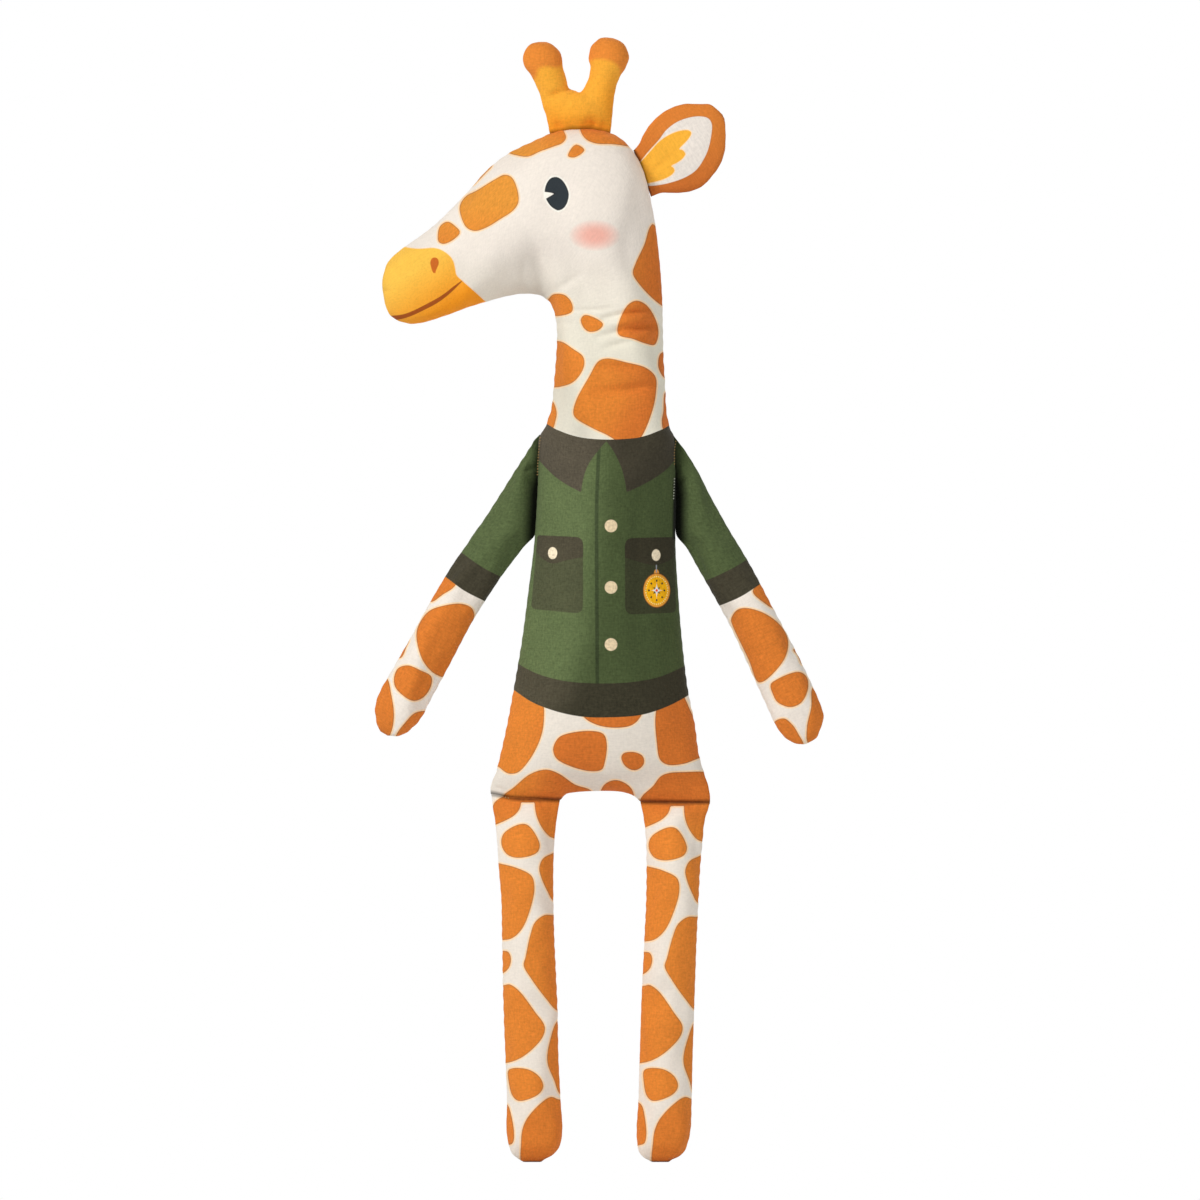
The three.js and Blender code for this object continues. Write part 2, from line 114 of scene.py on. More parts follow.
# Arm rows: inner seam, outer seam, half depth, and how sharply the seam at the shoulder is pinched
ARM_RIGHT_ROWS = [
    (541.2, 436, 539.6, 434.6, 0, 1),
    (541, 441.5, 535.2, 438.6, 2.5, 1),
    (540.4, 452.5, 528.4, 449.8, 7.5, 1),
    (539.4, 473, 515.6, 470.1, 15, 1),
    (538.2, 497.5, 500.8, 493.6, 20.5, 1),
    (537, 519, 488.5, 512.8, 23, 1),
    (534.9, 536, 481.1, 523.7, 23, 0.9),
    (525.5, 545.5, 474, 533.4, 22, 0.5),
    (507.6, 568.3, 467.3, 543.8, 21.8, 0),
    (493.6, 588.2, 453.2, 563.6, 21, 0),
    (472.8, 620.8, 433, 596.8, 20.6, 0),
    (448.8, 666, 408.3, 641.4, 20.6, 0),
    (430.4, 700.2, 389, 675, 20.6, 0),
    (420.8, 718.6, 379, 693.4, 20, 0),
    (411.1, 729.2, 375, 707.4, 17, 0),
    (401.8, 735.2, 376, 719.6, 12, 0),
    (391.7, 736.2, 378.2, 728.1, 6, 0),
    (387.5, 735.6, 380.5, 731.5, 0, 0),
]
ARM_LEFT_ROWS = [
    (672.2, 436, 673.2, 434.8, 0, 1),
    (672.6, 441.5, 677.6, 440.2, 2.5, 1),
    (673.2, 452.5, 685.2, 450.6, 7.5, 1),
    (673.9, 473, 698, 471.8, 15, 1),
    (674.7, 497.5, 710.3, 496, 20.5, 1),
    (674.9, 521, 721, 515.4, 23, 1),
    (676.1, 536, 727.4, 526.8, 23, 0.9),
    (685.2, 546.5, 733, 536.4, 22, 0.5),
    (699.2, 570.5, 740.6, 548.6, 21.8, 0),
    (711.3, 591.5, 752.8, 569.5, 21, 0),
    (729.9, 625.6, 770.9, 603.9, 20.6, 0),
    (751.2, 671.9, 794.8, 648.9, 20.6, 0),
    (767.2, 707.3, 811.7, 683.8, 20.6, 0),
    (776.2, 726.2, 820.1, 702.9, 20, 0),
    (784.8, 737.4, 823.8, 716.9, 17, 0),
    (794.8, 743.3, 820, 730.1, 12, 0),
    (803, 744.5, 816.5, 738, 6, 0),
    (806, 744, 812.5, 740.7, 0, 0),
]
# Leg rows, from the hip down: right edge, left edge, half depth
LEG_RIGHT_ROWS = [
    (491.1, 792.6, 560.6, 797.6, 0),
    (491.4, 797.4, 560.4, 800, 3.6),
    (492.2, 806.4, 559.2, 806.8, 9.5),
    (494.6, 819, 557, 819, 15.5),
    (497, 842, 554.6, 842, 20),
    (498.6, 865, 553.6, 865, 22),
    (501.2, 901, 553.6, 901, 23),
    (502, 941, 554.6, 941, 23),
    (503.2, 1001, 557.4, 1001, 23),
    (505.4, 1061, 558.8, 1061, 23),
    (506.8, 1101, 560.8, 1101, 23.5),
    (506.4, 1131, 562.4, 1131, 23.5),
    (508.9, 1146, 559.8, 1146, 22),
    (512.4, 1154, 554, 1154, 17.5),
    (520, 1160, 544, 1160, 10.5),
    (525, 1163, 540, 1163, 0),
]
LEG_LEFT_ROWS = [
    (640.2, 800.6, 709.8, 802.2, 0),
    (640.4, 803.4, 709.7, 804.6, 3.6),
    (641.6, 809.6, 708.2, 810.2, 9.5),
    (643.8, 820, 705, 820, 15.5),
    (646, 842, 702.6, 842, 20),
    (646.5, 865, 700.6, 865, 22),
    (646, 901, 698.6, 901, 23),
    (644.2, 941, 696.8, 941, 23),
    (641.3, 1001, 694.6, 1001, 23),
    (639.4, 1061, 692.7, 1061, 23),
    (638.2, 1101, 691.8, 1101, 23.5),
    (636.5, 1131, 690.6, 1131, 23.5),
    (637.4, 1146, 687, 1146, 22),
    (640, 1154, 682.6, 1154, 17.5),
    (648, 1160, 672, 1160, 10.5),
    (653, 1163, 668, 1163, 0),
]
# Horn rows in shares of the base's width and the height: outer seam, inner seam, half depth
HORNS_PLACE = (579.9, 134.3)
HORNS_SIZE = (63, 96.5)
HORNS_HALF_DEPTH = 17
FRONT_HORN_ROWS = [
    (-0.46, -0.04, 0.25, -0.04, 0),
    (-0.475, 0, 0.24, 0, 0.2),
    (-0.49, 0.06, 0.2, 0.06, 0.44),
    (-0.528, 0.191, 0.135, 0.21, 0.76),
    (-0.585, 0.3, 0.071, 0.33, 0.8),
    (-0.622, 0.405, -0.024, 0.425, 0.79),
    (-0.682, 0.5, -0.178, 0.478, 0.82),
    (-0.764, 0.612, -0.226, 0.58, 0.94),
    (-0.882, 0.723, -0.278, 0.691, 1),
    (-0.881, 0.84, -0.31, 0.83, 0.88),
    (-0.786, 0.926, -0.421, 0.915, 0.59),
    (-0.659, 0.96, -0.532, 0.96, 0),
]
BACK_HORN_ROWS = [
    (-0.25, -0.04, 0.47, -0.04, 0),
    (-0.23, 0, 0.482, 0, 0.2),
    (-0.2, 0.06, 0.49, 0.06, 0.44),
    (-0.135, 0.22, 0.51, 0.22, 0.76),
    (-0.056, 0.37, 0.53, 0.36, 0.8),
    (0.07, 0.474, 0.565, 0.487, 0.79),
    (0.148, 0.585, 0.62, 0.59, 0.82),
    (0.176, 0.694, 0.71, 0.686, 0.94),
    (0.148, 0.79, 0.768, 0.78, 1),
    (0.183, 0.899, 0.738, 0.883, 0.88),
    (0.294, 0.979, 0.643, 0.957, 0.59),
    (0.405, 1.008, 0.532, 0.998, 0),
]
HORNS_FOOT_ROWS = [
    (-0.46, -0.04, 0.47, -0.04, 0),
    (-0.47, 0, 0.478, 0, 0.24),
    (-0.47, 0.06, 0.47, 0.06, 0.52),
    (-0.46, 0.19, 0.46, 0.19, 1),
    (-0.44, 0.3, 0.44, 0.3, 0.96),
    (-0.36, 0.38, 0.36, 0.38, 0.8),
    (-0.22, 0.425, 0.22, 0.425, 0.5),
    (-0.12, 0.43, 0.12, 0.43, 0),
]
# Ear rows in shares of its length, turning from its seam out to its tip: upper seam, lower seam, half depth
EAR_PLACE = (644, 174)
EAR_LENGTH = 92
EAR_HALF_DEPTH = 8
EAR_ROWS = [
    (-0.115, 0.255, 0.076, -0.247, 0),
    (-0.06, 0.33, 0.196, -0.212, 0.55),
    (-0.011, 0.43, 0.348, -0.212, 0.8),
    (0.065, 0.545, 0.5, -0.195, 0.93),
    (0.174, 0.652, 0.64, -0.135, 1),
    (0.293, 0.723, 0.75, -0.02, 1),
    (0.435, 0.766, 0.832, 0.1, 0.93),
    (0.587, 0.766, 0.882, 0.25, 0.8),
    (0.717, 0.761, 0.891, 0.413, 0.6),
    (0.804, 0.696, 0.886, 0.543, 0.4),
    (0.85, 0.65, 0.875, 0.6, 0),
]

# The print. Giraffe patches on the head and neck
HEAD_PATCHES = [
    [(508, 152), (511, 146), (522, 138), (539, 128), (551, 118), (560, 124), (564, 131.4), (566.1, 137.6),
     (562.6, 143), (553.6, 146.6), (539.6, 151.7), (528.4, 156.6), (517, 155.5)],
    [(580.3, 120), (580.5, 131), (585.9, 139.2), (595.7, 143.5), (612.5, 144.3), (629, 146.6), (642, 150), (630, 126),
     (605, 114)],
    [(576, 144.4), (584.5, 149.9), (580.3, 154.7), (573.2, 157.7), (568, 156.1), (569.9, 150.5)],
    [(459.6, 206.6), (465.2, 196.8), (477.8, 189.8), (494.7, 179.4), (504.5, 174.7), (511.5, 177.1), (517.1, 188.4),
     (518.4, 202.4), (512.9, 210.8), (500.3, 219.2), (486.3, 227.6), (475, 231), (466.6, 227.6), (461, 216.4)],
    [(437.7, 236), (440, 226.2), (447.5, 221.6), (455.4, 226.2), (460, 232.4), (452.6, 240.3), (443.3, 244),
     (438.6, 241.7)],
    [(473, 185), (478.4, 180.6), (486, 172.8), (492.4, 165.2), (488, 160), (472, 174)],
    [(649.4, 228), (652.7, 224), (656.8, 228), (664, 242), (676, 256), (678, 312), (664, 307), (651.8, 297.8),
     (637.8, 282.4), (632.8, 273.5), (635.2, 264.1), (644.4, 244.2)],
    [(549.4, 297.8), (553.6, 294.2), (564.8, 295), (572, 303.4), (572, 311.6), (562, 315.6), (552, 315.2),
     (544, 306)],
    [(580.8, 319.4), (584.8, 315), (598.5, 319.7), (603.2, 324.4), (598.5, 330.2), (589, 331.8), (583.2, 327.2)],
    [(617.3, 331.4), (619.5, 320.2), (628, 304.8), (636.4, 300.6), (646.2, 304.8), (656, 320.2), (658.5, 334.3),
     (654.6, 344.8), (646.2, 343.8), (632.2, 338.8), (619.5, 335.6)],
    [(550, 343), (560.6, 341.4), (573.2, 348.9), (583.2, 356.7), (584, 366.5), (576, 379.8), (566.6, 385.2),
     (550, 385.8)],
    [(658, 363.7), (660.8, 353.3), (672, 352), (674, 378), (664.7, 378), (659.8, 371.5)],
    [(573.2, 413), (576, 400.5), (588.8, 377), (598.5, 361.2), (606.9, 358.4), (626.5, 362.3), (646.2, 367.9),
     (655.6, 377), (656, 393.2), (651.8, 412.8), (641, 437.6), (632, 446), (618, 441.4), (606, 434.6), (592, 428),
     (575.5, 418)],
    [(551.6, 400.5), (556.6, 411.4), (555.8, 419.8), (551.5, 430.5), (540, 432), (540, 404)],
    [(665.6, 392), (663.2, 412), (661.8, 421), (664, 430.5), (676, 430), (676, 396)],
]
MUZZLE = [(404.5, 247), (412.9, 248.4), (419.8, 248.8), (425.9, 248.4), (432.8, 248), (438.9, 249.1), (445, 252.2),
          (450.4, 256.8), (453.5, 262.1), (455, 268.3), (456.5, 275.1), (462.3, 280.9), (474.9, 292), (487, 303.2),
          (492, 320), (440, 345), (360, 335), (350, 260)]
MUZZLE_CORNERS = (0, 13, 14, 15, 16, 17)
NOSTRIL = [(434.5, 257.3), (437.6, 258.7), (438.8, 261.8), (438, 266), (436.2, 269.8), (435.2, 274.4), (433, 272.4),
           (431.2, 267.8), (430.3, 262.6), (431.5, 258.8)]
NOSTRIL_CORNERS = (5,)
MOUTH = [(386, 316.6), (392.2, 316), (403, 314.7), (414.4, 310.5), (425.9, 304.7), (437.4, 298.5), (445, 293.6),
         (452.7, 287.5), (458.8, 283), (462.6, 280.5), (458.8, 284.3), (451.9, 291.2), (442.7, 298.9), (433.6, 304.8),
         (422.8, 310.3), (412.1, 315.3), (403, 318.4), (396.4, 319.5), (386, 320.2)]
MOUTH_CORNERS = (0, 9, 18)
EYE = [(544.7, 190.7), (546.3, 184.2), (549.1, 179.6), (552, 177.5), (554.9, 176.9), (557.7, 177.2), (561.9, 179.9),
       (565.1, 184), (567.6, 189.1), (568.8, 194.2), (567.9, 200.6), (566, 205.1), (562.8, 208.9), (558.1, 210.5),
       (555.5, 209.5), (552, 207.3), (549.1, 204.1), (546.6, 200), (545.2, 196)]
EYE_GLINT = [(540, 191.2), (554.9, 193.3), (540, 202.2)]
BLUSH = ((594.8, 235.4), (24, 14.6))
BLUSH_STRENGTH = 0.74
# Where the head's colours change, from and to, by rows or columns
NECK_CREAM_ROWS = (250, 340)
BROW_ROWS = (205, 255)
BROW_COLUMNS = (520, 580)
# The muzzle darkens towards the chin from this place on, by so much for each column and row
MUZZLE_LIGHT = (415, 270)
MUZZLE_DARKENS = (0.012, 0.017)
# Painted shade in the hollow between the cheek and the throat: its slanted far edge, where it grows and ends beside
# that edge, its rows, and how much darker it makes the colour
HOLLOW_EDGE = (524, 222)
HOLLOW_SLANT = 0.3
HOLLOW_GROWS = (-58, -8)
HOLLOW_ENDS = (9, -3)
HOLLOW_ROWS = (215, 262)
HOLLOW_SHADE = 0.14

# The jacket: the collar's upper edge and its panels, the hem, the closure down the front and the pockets. Corners
# are places in the list before them
COLLAR_EDGE = [(520, 409), (536, 417.5), (547, 424), (557.7, 430.2), (570, 434.8), (583.2, 437.6), (605.5, 439.1),
               (625, 438.6), (640.6, 437), (655, 432.4), (668.7, 425.6), (680, 419), (700, 407)]
COLLAR_RIGHT = [(541, 400), (500, 440), (538.4, 459.4), (543, 464.8), (554.4, 476.1), (565.9, 484.2), (581, 492.3),
                (583.7, 477.2), (588.9, 463.7), (599.2, 449.5), (603.5, 444.4), (606.5, 441.5), (606.5, 400)]
COLLAR_RIGHT_CORNERS = (0, 1, 2, 6, 11, 12)
COLLAR_LEFT = [(606.5, 400), (606.5, 441.5), (611.8, 448.5), (617.6, 458.9), (622.2, 470.4), (625, 481.8),
               (626.6, 492.5), (644, 484.2), (657.8, 476.1), (668.1, 468.1), (674, 460.8), (700, 430), (680, 400)]
COLLAR_LEFT_CORNERS = (0, 1, 6, 10, 11, 12)
COLLAR_BACK = [(500, 400), (500, 440), (538.4, 455), (560, 466), (585, 472), (606, 473.5), (628, 472), (652, 466),
               (674, 455), (700, 440), (700, 400)]
COLLAR_BACK_CORNERS = (0, 1, 9, 10)
HEM_TOP = [(500, 652), (521, 665.5), (538.6, 674.1), (564.1, 680.8), (596.6, 683.4), (631, 682.1), (659.7, 676.7),
           (685.3, 665.5), (704, 655)]
HEM_FOOT = [(496, 677), (515.3, 691), (532.2, 702.2), (557.7, 711.8), (583.2, 716.8), (608.7, 717.4), (640.6, 715),
            (666.1, 707), (689.1, 694.9), (706, 683)]
JACKET_ABOVE = [(760, 683), (760, 380), (440, 380), (440, 677)]
PLACKET = [(599.4, 440), (598.7, 455), (597.5, 480), (596.6, 510), (596.7, 560), (597, 620), (597.4, 690)]
PLACKET_WIDTH = 2.2
# Corners of the pockets, and how far each is rounded
POCKET_RIGHT = [(537.6, 535.2, 2), (583.1, 537.2, 8), (583.1, 613.9, 9), (531, 608.9, 5)]
POCKET_LEFT = [(625, 538.2, 8), (674.6, 537, 1.5), (676, 612.6, 5), (625, 614.8, 9)]
FLAP_RIGHT_EDGE = [(530, 545), (537.2, 553), (543, 559), (552.1, 563.4), (565.9, 560.4), (577.4, 558.1), (590, 556)]
FLAP_RIGHT_ABOVE = [(590, 520), (530, 520)]
FLAP_LEFT_EDGE = [(616, 554.5), (625, 557.5), (634.3, 560.4), (648.7, 564.4), (656.7, 565.1), (665.9, 562),
                  (682, 553)]
FLAP_LEFT_ABOVE = [(682, 520), (616, 520)]
FRONT_BUTTONS = [(611, 525.9), (611, 587.4), (611, 644.5)]
POCKET_BUTTONS = [((552.6, 553.1), (4.6, 6)), ((656.1, 555.1), (4.3, 5.8))]
# The compass: its middle, and in steps from there its ovals and the chain, each with its half width and height
COMPASS = (656.7, 590.4)
RIM_OVAL = ((0, 0), (13.6, 17.2))
DIAL_OVAL = ((0, 0), (11.8, 14.9))
TAB_OVAL = ((-0.2, -17.2), (2.5, 3.8))
CHAIN_BOX = ((-0.3, -21.8), (0.55, 3.8))
# Fine ticks and dark marks: how many, half of each in shares of a tick, and their ring in shares of the dial
TICKS = (36, 0.18, 0.925, 0.035)
MARKS = (8, 0.11, 0.65, 0.07)
# Four-pointed stars: reach across and down, and how hollow their sides are, from 0 to 1 for straight ones
SLANTED_STAR = ((5.4, 5.4), 0.62)
NEEDLE_STAR = ((6.4, 9.4), 0.44)

HIP_PATCHES = [
    [(514.2, 688), (541.3, 700), (543.9, 721.5), (539.7, 740.6), (528.6, 761.3), (517.4, 772.7), (507.8, 773.4),
     (499.6, 767.7), (490, 760), (490, 700)],
    [(553.1, 748.6), (558.9, 737.4), (571.6, 732.6), (593.9, 731), (603.8, 734.2), (606.9, 743.8), (605.1, 761.3),
     (601.9, 769.5), (590.7, 771.3), (568.4, 765.5), (556, 758.1)],
    [(580, 700), (583, 716), (596, 724.6), (616.3, 727.8), (633, 724.6), (642, 714), (644, 700)],
    [(621.3, 757), (624.2, 752.9), (635.4, 752.2), (642.9, 756.3), (644, 763.5), (638.6, 769.3), (631.9, 770.1),
     (624.2, 765)],
    [(655.3, 717), (658.5, 702), (668, 690), (680, 690), (686, 700.5), (690.5, 710.5), (697, 722), (712, 732),
     (720, 752), (699.6, 758.1), (683.2, 764), (667.3, 764.7), (660, 759.7), (656.5, 740.6)],
    [(502, 797.5), (514.2, 787), (530.2, 774), (546.1, 769.5), (558.9, 773.6), (574.8, 784.4), (592, 791.6),
     (592, 812), (502, 812)],
    [(600.4, 792), (605.1, 784), (614.7, 780), (625.8, 783.4), (632.8, 791), (633, 806), (601, 806)],
    [(640.5, 799), (653, 786), (660.6, 776.4), (668.6, 773), (683.2, 772), (708, 772.4), (724, 780), (724, 815),
     (642, 815)],
]
# Giraffe patches on a leg, as they lie on the right one
LEG_PATCHES = [
    [(505, 788), (520, 785), (537, 785), (566, 785), (566, 801), (537, 802.4), (520, 802.4), (508, 801)],
    [(492, 808), (494.2, 803), (498, 799.3), (503.5, 796.3), (512, 793), (520.4, 800), (520, 808), (514.2, 815.5),
     (496.7, 824.4), (480, 830), (484, 815)],
    [(534.6, 800), (536, 792), (556, 790), (572, 800), (566, 842), (554.1, 838.4), (549.3, 836.4), (541.3, 826.7),
     (536, 814)],
    [(501.3, 839.4), (504.6, 832.4), (519, 824.3), (527, 824.6), (534.9, 833.1), (539.9, 845.8), (536.7, 853),
     (519, 857.9), (507.8, 855), (502.2, 847.4)],
    [(566, 846), (553.4, 852.8), (542.9, 858.6), (539.2, 868.1), (541.3, 877.7), (547.7, 892), (553, 900.5),
     (566, 903)],
    [(484, 860), (498.9, 863.2), (517.4, 868.1), (531.8, 876.1), (534.5, 888.9), (530.2, 909.6), (522.2, 928.7),
     (512.6, 938), (502.1, 940.2), (484, 938)],
    [(568, 912), (554, 915), (544.5, 915.1), (534.9, 922.3), (530.2, 935.1), (525.4, 957.4), (523.6, 965.4),
     (531.8, 979.7), (546.1, 998.9), (557, 1010.5), (570, 1012)],
    [(490, 950), (502.1, 950.7), (508, 951.7), (510.9, 957.4), (509.4, 967), (503.4, 973), (490, 976)],
    [(486, 986), (503.4, 985.3), (509.4, 984.3), (519, 990.7), (534.9, 1011.6), (544.7, 1026), (543.5, 1035.5),
     (534.9, 1046.9), (520.6, 1058.1), (506.2, 1063), (488, 1062)],
    [(572, 1014), (557.3, 1021.2), (550.9, 1037.1), (547.2, 1061.1), (554.1, 1080.2), (560, 1094), (574, 1098)],
    [(508.2, 1070.6), (512.6, 1068.2), (528.6, 1069.5), (539.7, 1077), (543.4, 1086.6), (538.1, 1094.7), (519, 1101),
     (512.6, 1096.1), (508.6, 1081.8)],
    [(494, 1100), (507, 1104.1), (511.7, 1116.9), (514.2, 1136), (512.6, 1143.3), (508.5, 1145), (494, 1146)],
    [(575, 1096), (559.8, 1099.5), (550.9, 1096.9), (539.7, 1104.1), (527, 1118.5), (522.3, 1129.6), (521, 1142.4),
     (522.5, 1166), (540, 1172), (575, 1160)],
]
# The left leg's print is the right one's, moved across, leaning by each row below the hip, and lower near the hip
HIP_ROW = 800
LEFT_LEG_SHIFT = 149.5
LEFT_LEG_LEAN = 0.0515
LEFT_LEG_DROP = 3.6
LEFT_LEG_DROP_ROWS = 220
LEFT_LEG_TOP_PATCH = [(632, 792), (662, 792), (662, 812), (650, 819), (632, 827)]
# Sleeves: the cuffs' edges, and a frame round all above them
ARM_RIGHT_CUFF_TOP = [(440, 536), (462.7, 553.3), (482, 567), (501.9, 577.4), (522, 588)]
ARM_RIGHT_CUFF_FOOT = [(424, 561), (446.7, 577.8), (464, 590.5), (485.3, 601.5), (506, 612)]
ARM_RIGHT_ABOVE = [(620, 620), (620, 380), (380, 380), (380, 540)]
ARM_LEFT_CUFF_TOP = [(686, 588), (707.6, 579.8), (729, 570), (748.4, 558.9), (770, 545)]
ARM_LEFT_CUFF_FOOT = [(698, 613), (720.6, 605.3), (741, 596.5), (759.8, 584.4), (780, 571)]
ARM_LEFT_ABOVE = [(830, 560), (830, 380), (600, 380), (600, 640)]
ARM_RIGHT_PATCHES = [
    [(440, 572), (446.7, 576), (456, 583), (453.5, 587.6), (442.9, 594.6), (431, 602), (424, 596)],
    [(416.4, 633.7), (419, 624.1), (428.6, 611.3), (442.9, 605.7), (462, 603.8), (471.8, 608.1), (474.4, 616.1),
     (468.4, 630.5), (452.5, 662.3), (444.5, 676.6), (434.5, 673.7), (423.8, 662.3), (417.8, 646.4)],
    [(409, 639), (406.4, 647), (401, 657.8), (392, 656), (400, 636)],
    [(394.1, 676.7), (398.3, 668.1), (407.8, 665.3), (420.6, 670.3), (431.4, 676.7), (430.4, 687.9), (422.2, 698.3),
     (412.6, 700.8), (401.5, 694.4), (394.9, 686.3)],
    [(386.5, 678.5), (391.3, 694.2), (394, 716.6), (390.3, 734.4), (380, 745), (366, 725), (370, 690)],
    [(428, 712.2), (415.8, 712.5), (406.2, 721.3), (395.4, 737.5), (398, 748), (426, 736)],
]
ARM_LEFT_PATCHES = [
    [(752.6, 591.5), (760.2, 583), (773, 580), (784, 604), (773.6, 608.4), (765, 603.6)],
    [(731, 619), (736.3, 610.5), (744.2, 607.9), (763.4, 612.7), (780.9, 625.7), (788.1, 640), (785.9, 656),
     (774.6, 672.1), (762.4, 682), (757.6, 681.8), (749, 660.8), (731.5, 622.9)],
    [(793, 650), (797.2, 655), (802, 664.5), (808, 662), (800, 648)],
    [(770.5, 684.7), (774.6, 680.6), (798.5, 671.7), (806.6, 676.7), (808.2, 687.9), (801.6, 702.4), (790.5, 707.2),
     (777.7, 702.4), (772.8, 694.2)],
    [(774.5, 722), (784.1, 718.4), (792.3, 724.5), (798.5, 734.1), (803.4, 745.5), (790, 752), (772, 738)],
    [(813, 687.5), (832, 695), (836, 720), (824, 742), (808.4, 743.5), (806.8, 727.7), (811.2, 707)],
]
EAR_INNER = [(638, 164.6), (648, 152), (659.3, 139.4), (666.4, 130), (677.1, 122), (689.6, 117.5), (700.4, 116.4),
             (708.2, 118.4), (711.7, 123.8), (711.2, 135.4), (708, 149.6), (703, 160.4), (695.9, 170.2),
             (685.2, 177.3), (670, 182.7), (655.7, 185.4), (644, 186)]
EAR_INNER_CORNERS = (0, 16)
EAR_LOW_ROWS = (130, 190)
EAR_TUFT = [(638, 165), (649.5, 152.3), (659.3, 141.6), (670, 134.5), (680.7, 130.7), (688.8, 130.5), (691.6, 132.7),
            (689.6, 137.1), (684.3, 143.4), (678, 149.4), (682.5, 150.1), (685.7, 153.7), (683.4, 157.7),
            (677.1, 162.6), (670, 165.9), (673.6, 167.9), (674.7, 171.1), (671.8, 174.6), (664.6, 178.7),
            (655.7, 181.5), (642, 184.5)]
EAR_TUFT_CORNERS = (0, 6, 9, 11, 14, 16, 20)
HORN_KNOBS = [
    [(515, 20), (575, 30), (566, 60), (558, 67), (545, 66.5), (538.5, 69), (535.5, 77), (528, 84), (508, 60)],
    [(582, 15), (640, 20), (640, 70), (621.5, 76), (619.6, 68), (612, 61.5), (597, 59), (588, 61.5), (578, 60)],
]
# Where the horns turn to the colour of their foot
HORN_LOW_ROWS = (100, 134)
HORN_LOW_COLUMNS = (592, 616)
HORN_LOW_BESIDE_ROWS = (72, 102)

# Creases: a line of steps, half its width and its depth in millimetres, which is below zero for a ridge
BODY_CREASES = [
    ([(556, 290), (566, 284), (580, 275)], 2.6, 0.9),
    ([(542, 292), (541, 275), (537, 252)], 3.2, 0.8),
    ([(529, 291), (524, 276), (524, 262)], 2.6, 0.45),
    ([(572, 310.4), (594, 310), (614, 308)], 1.2, 1),
    ([(603, 319), (618, 315), (632, 312.6), (650, 309)], 1.8, 2.5),
    ([(608, 325), (624, 321), (650, 315.6)], 2.2, -1.1),
    ([(620, 330.4), (638, 328), (656, 324)], 2.3, 3),
    ([(618, 339), (638, 336), (656, 331.6)], 2.6, -1.2),
    ([(597, 336.6), (610, 334), (620, 331)], 1.7, 1.7),
    ([(603, 349), (616, 345), (630, 341)], 2, 1.4),
    ([(598, 366), (614, 366.6), (634, 369)], 2.2, 1.7),
    ([(594, 392.6), (626, 390), (657, 384.4)], 3, 2.6),
    ([(374, 291.5), (383, 291.2), (391, 290)], 1.2, 1),
    ([(562, 322), (574, 324)], 2, 0.4),
    ([(563, 792), (560, 784), (556, 774)], 2, 0.7),
    ([(495, 789), (503, 791.5)], 1.3, 0.7),
    ([(531, 795), (529, 789)], 1.4, 0.5),
    ([(641, 797), (650, 789)], 1.6, 0.5),
    ([(709, 781), (702, 785.5), (696, 787)], 1.4, 0.7),
    ([(668, 798), (664, 790)], 1.5, 0.5),
    ([(690, 798), (693, 791)], 1.5, 0.4),
]
HORN_CREASES = [
    ([(551, 96.6), (558, 93.6), (568.5, 88.6)], 2.1, 2.6),
    ([(589.6, 128), (591, 121)], 3.2, 3),
    ([(560, 130), (556, 123)], 2.4, 1.6),
    ([(602, 131), (603, 124)], 1.6, 0.7),
    ([(572, 129), (572, 124)], 2, 0.4),
    ([(597, 96), (596, 84)], 3, 0.4),
]
ARM_RIGHT_CREASES = [
    ([(524, 469.6), (531, 468.5), (538, 467)], 1.7, 1.8),
    ([(529, 479), (535, 484)], 1.6, 0.8),
    ([(522, 545), (514, 533)], 3, 0.6),
    ([(500, 579), (492, 568)], 3, 0.4),
]
ARM_LEFT_CREASES = [
    ([(675, 482), (682, 480), (689, 475)], 1.7, 1.5),
    ([(677, 497), (684, 494)], 1.6, 0.8),
    ([(690, 553), (698, 540)], 3, 0.6),
]
LEG_CREASES = [
    ([(506, 799), (508, 808)], 1.6, 0.5),
    ([(524, 799), (523, 812)], 2, 0.6),
    ([(541, 799), (544, 809)], 1.8, 0.6),
    ([(553, 800), (549, 812)], 1.6, 0.5),
    ([(492, 806), (500, 803)], 1.4, 0.5),
]
EAR_CREASES = [
    ([(652, 172), (662, 164), (676, 152)], 1.8, 0.7),
    ([(650, 180), (664, 182)], 1.5, 0.5),
    ([(645, 166), (653, 157)], 1.5, 0.4),
]

# Where the cloth folds into its seams, how far the shade of a fold reaches in millimetres and how deep it is
TORSO_FOLDS = [[(676.8, 480), (675.8, 515), (675.6, 537)]]
SLEEVE_FOLDS = [[(539, 440), (538, 470), (537, 490), (534.6, 537)],
                [(674.8, 440), (675, 470), (676.4, 500), (676.4, 537)]]
HIP_FOLDS = [[(489, 793), (501.8, 795.6), (511.3, 797.9), (521.6, 798.9), (562, 799.6)],
             [(640, 801.4), (680, 802.2), (711, 801.8)]]
HORN_FOLD = [(549, 133), (562.3, 130.7), (571.5, 128.7), (581.4, 128.9), (593, 128.7), (598, 130.3), (611, 133)]
EAR_FOLD = [(631.4, 147), (639.6, 163), (646.2, 182), (649.4, 197)]
FOLD_REACH = 6
FOLD_SHADE = 0.94
# How each fold's distance is stretched and shifted, how much further the sleeves' shade reaches below the collar, and
# over which rows it grows
TORSO_FOLD_SHADE = (5, -6)
HIP_FOLD_SHADE = (2.4, 0.7)
HORN_FOLD_SHADE = (1.6, 2.2)
EAR_FOLD_SHADE = (3, 0)
SLEEVE_FOLD_SHADE = (1, 1.6)
SLEEVE_FOLD_WIDER = 3.5
SLEEVE_FOLD_ROWS = (462, 492)
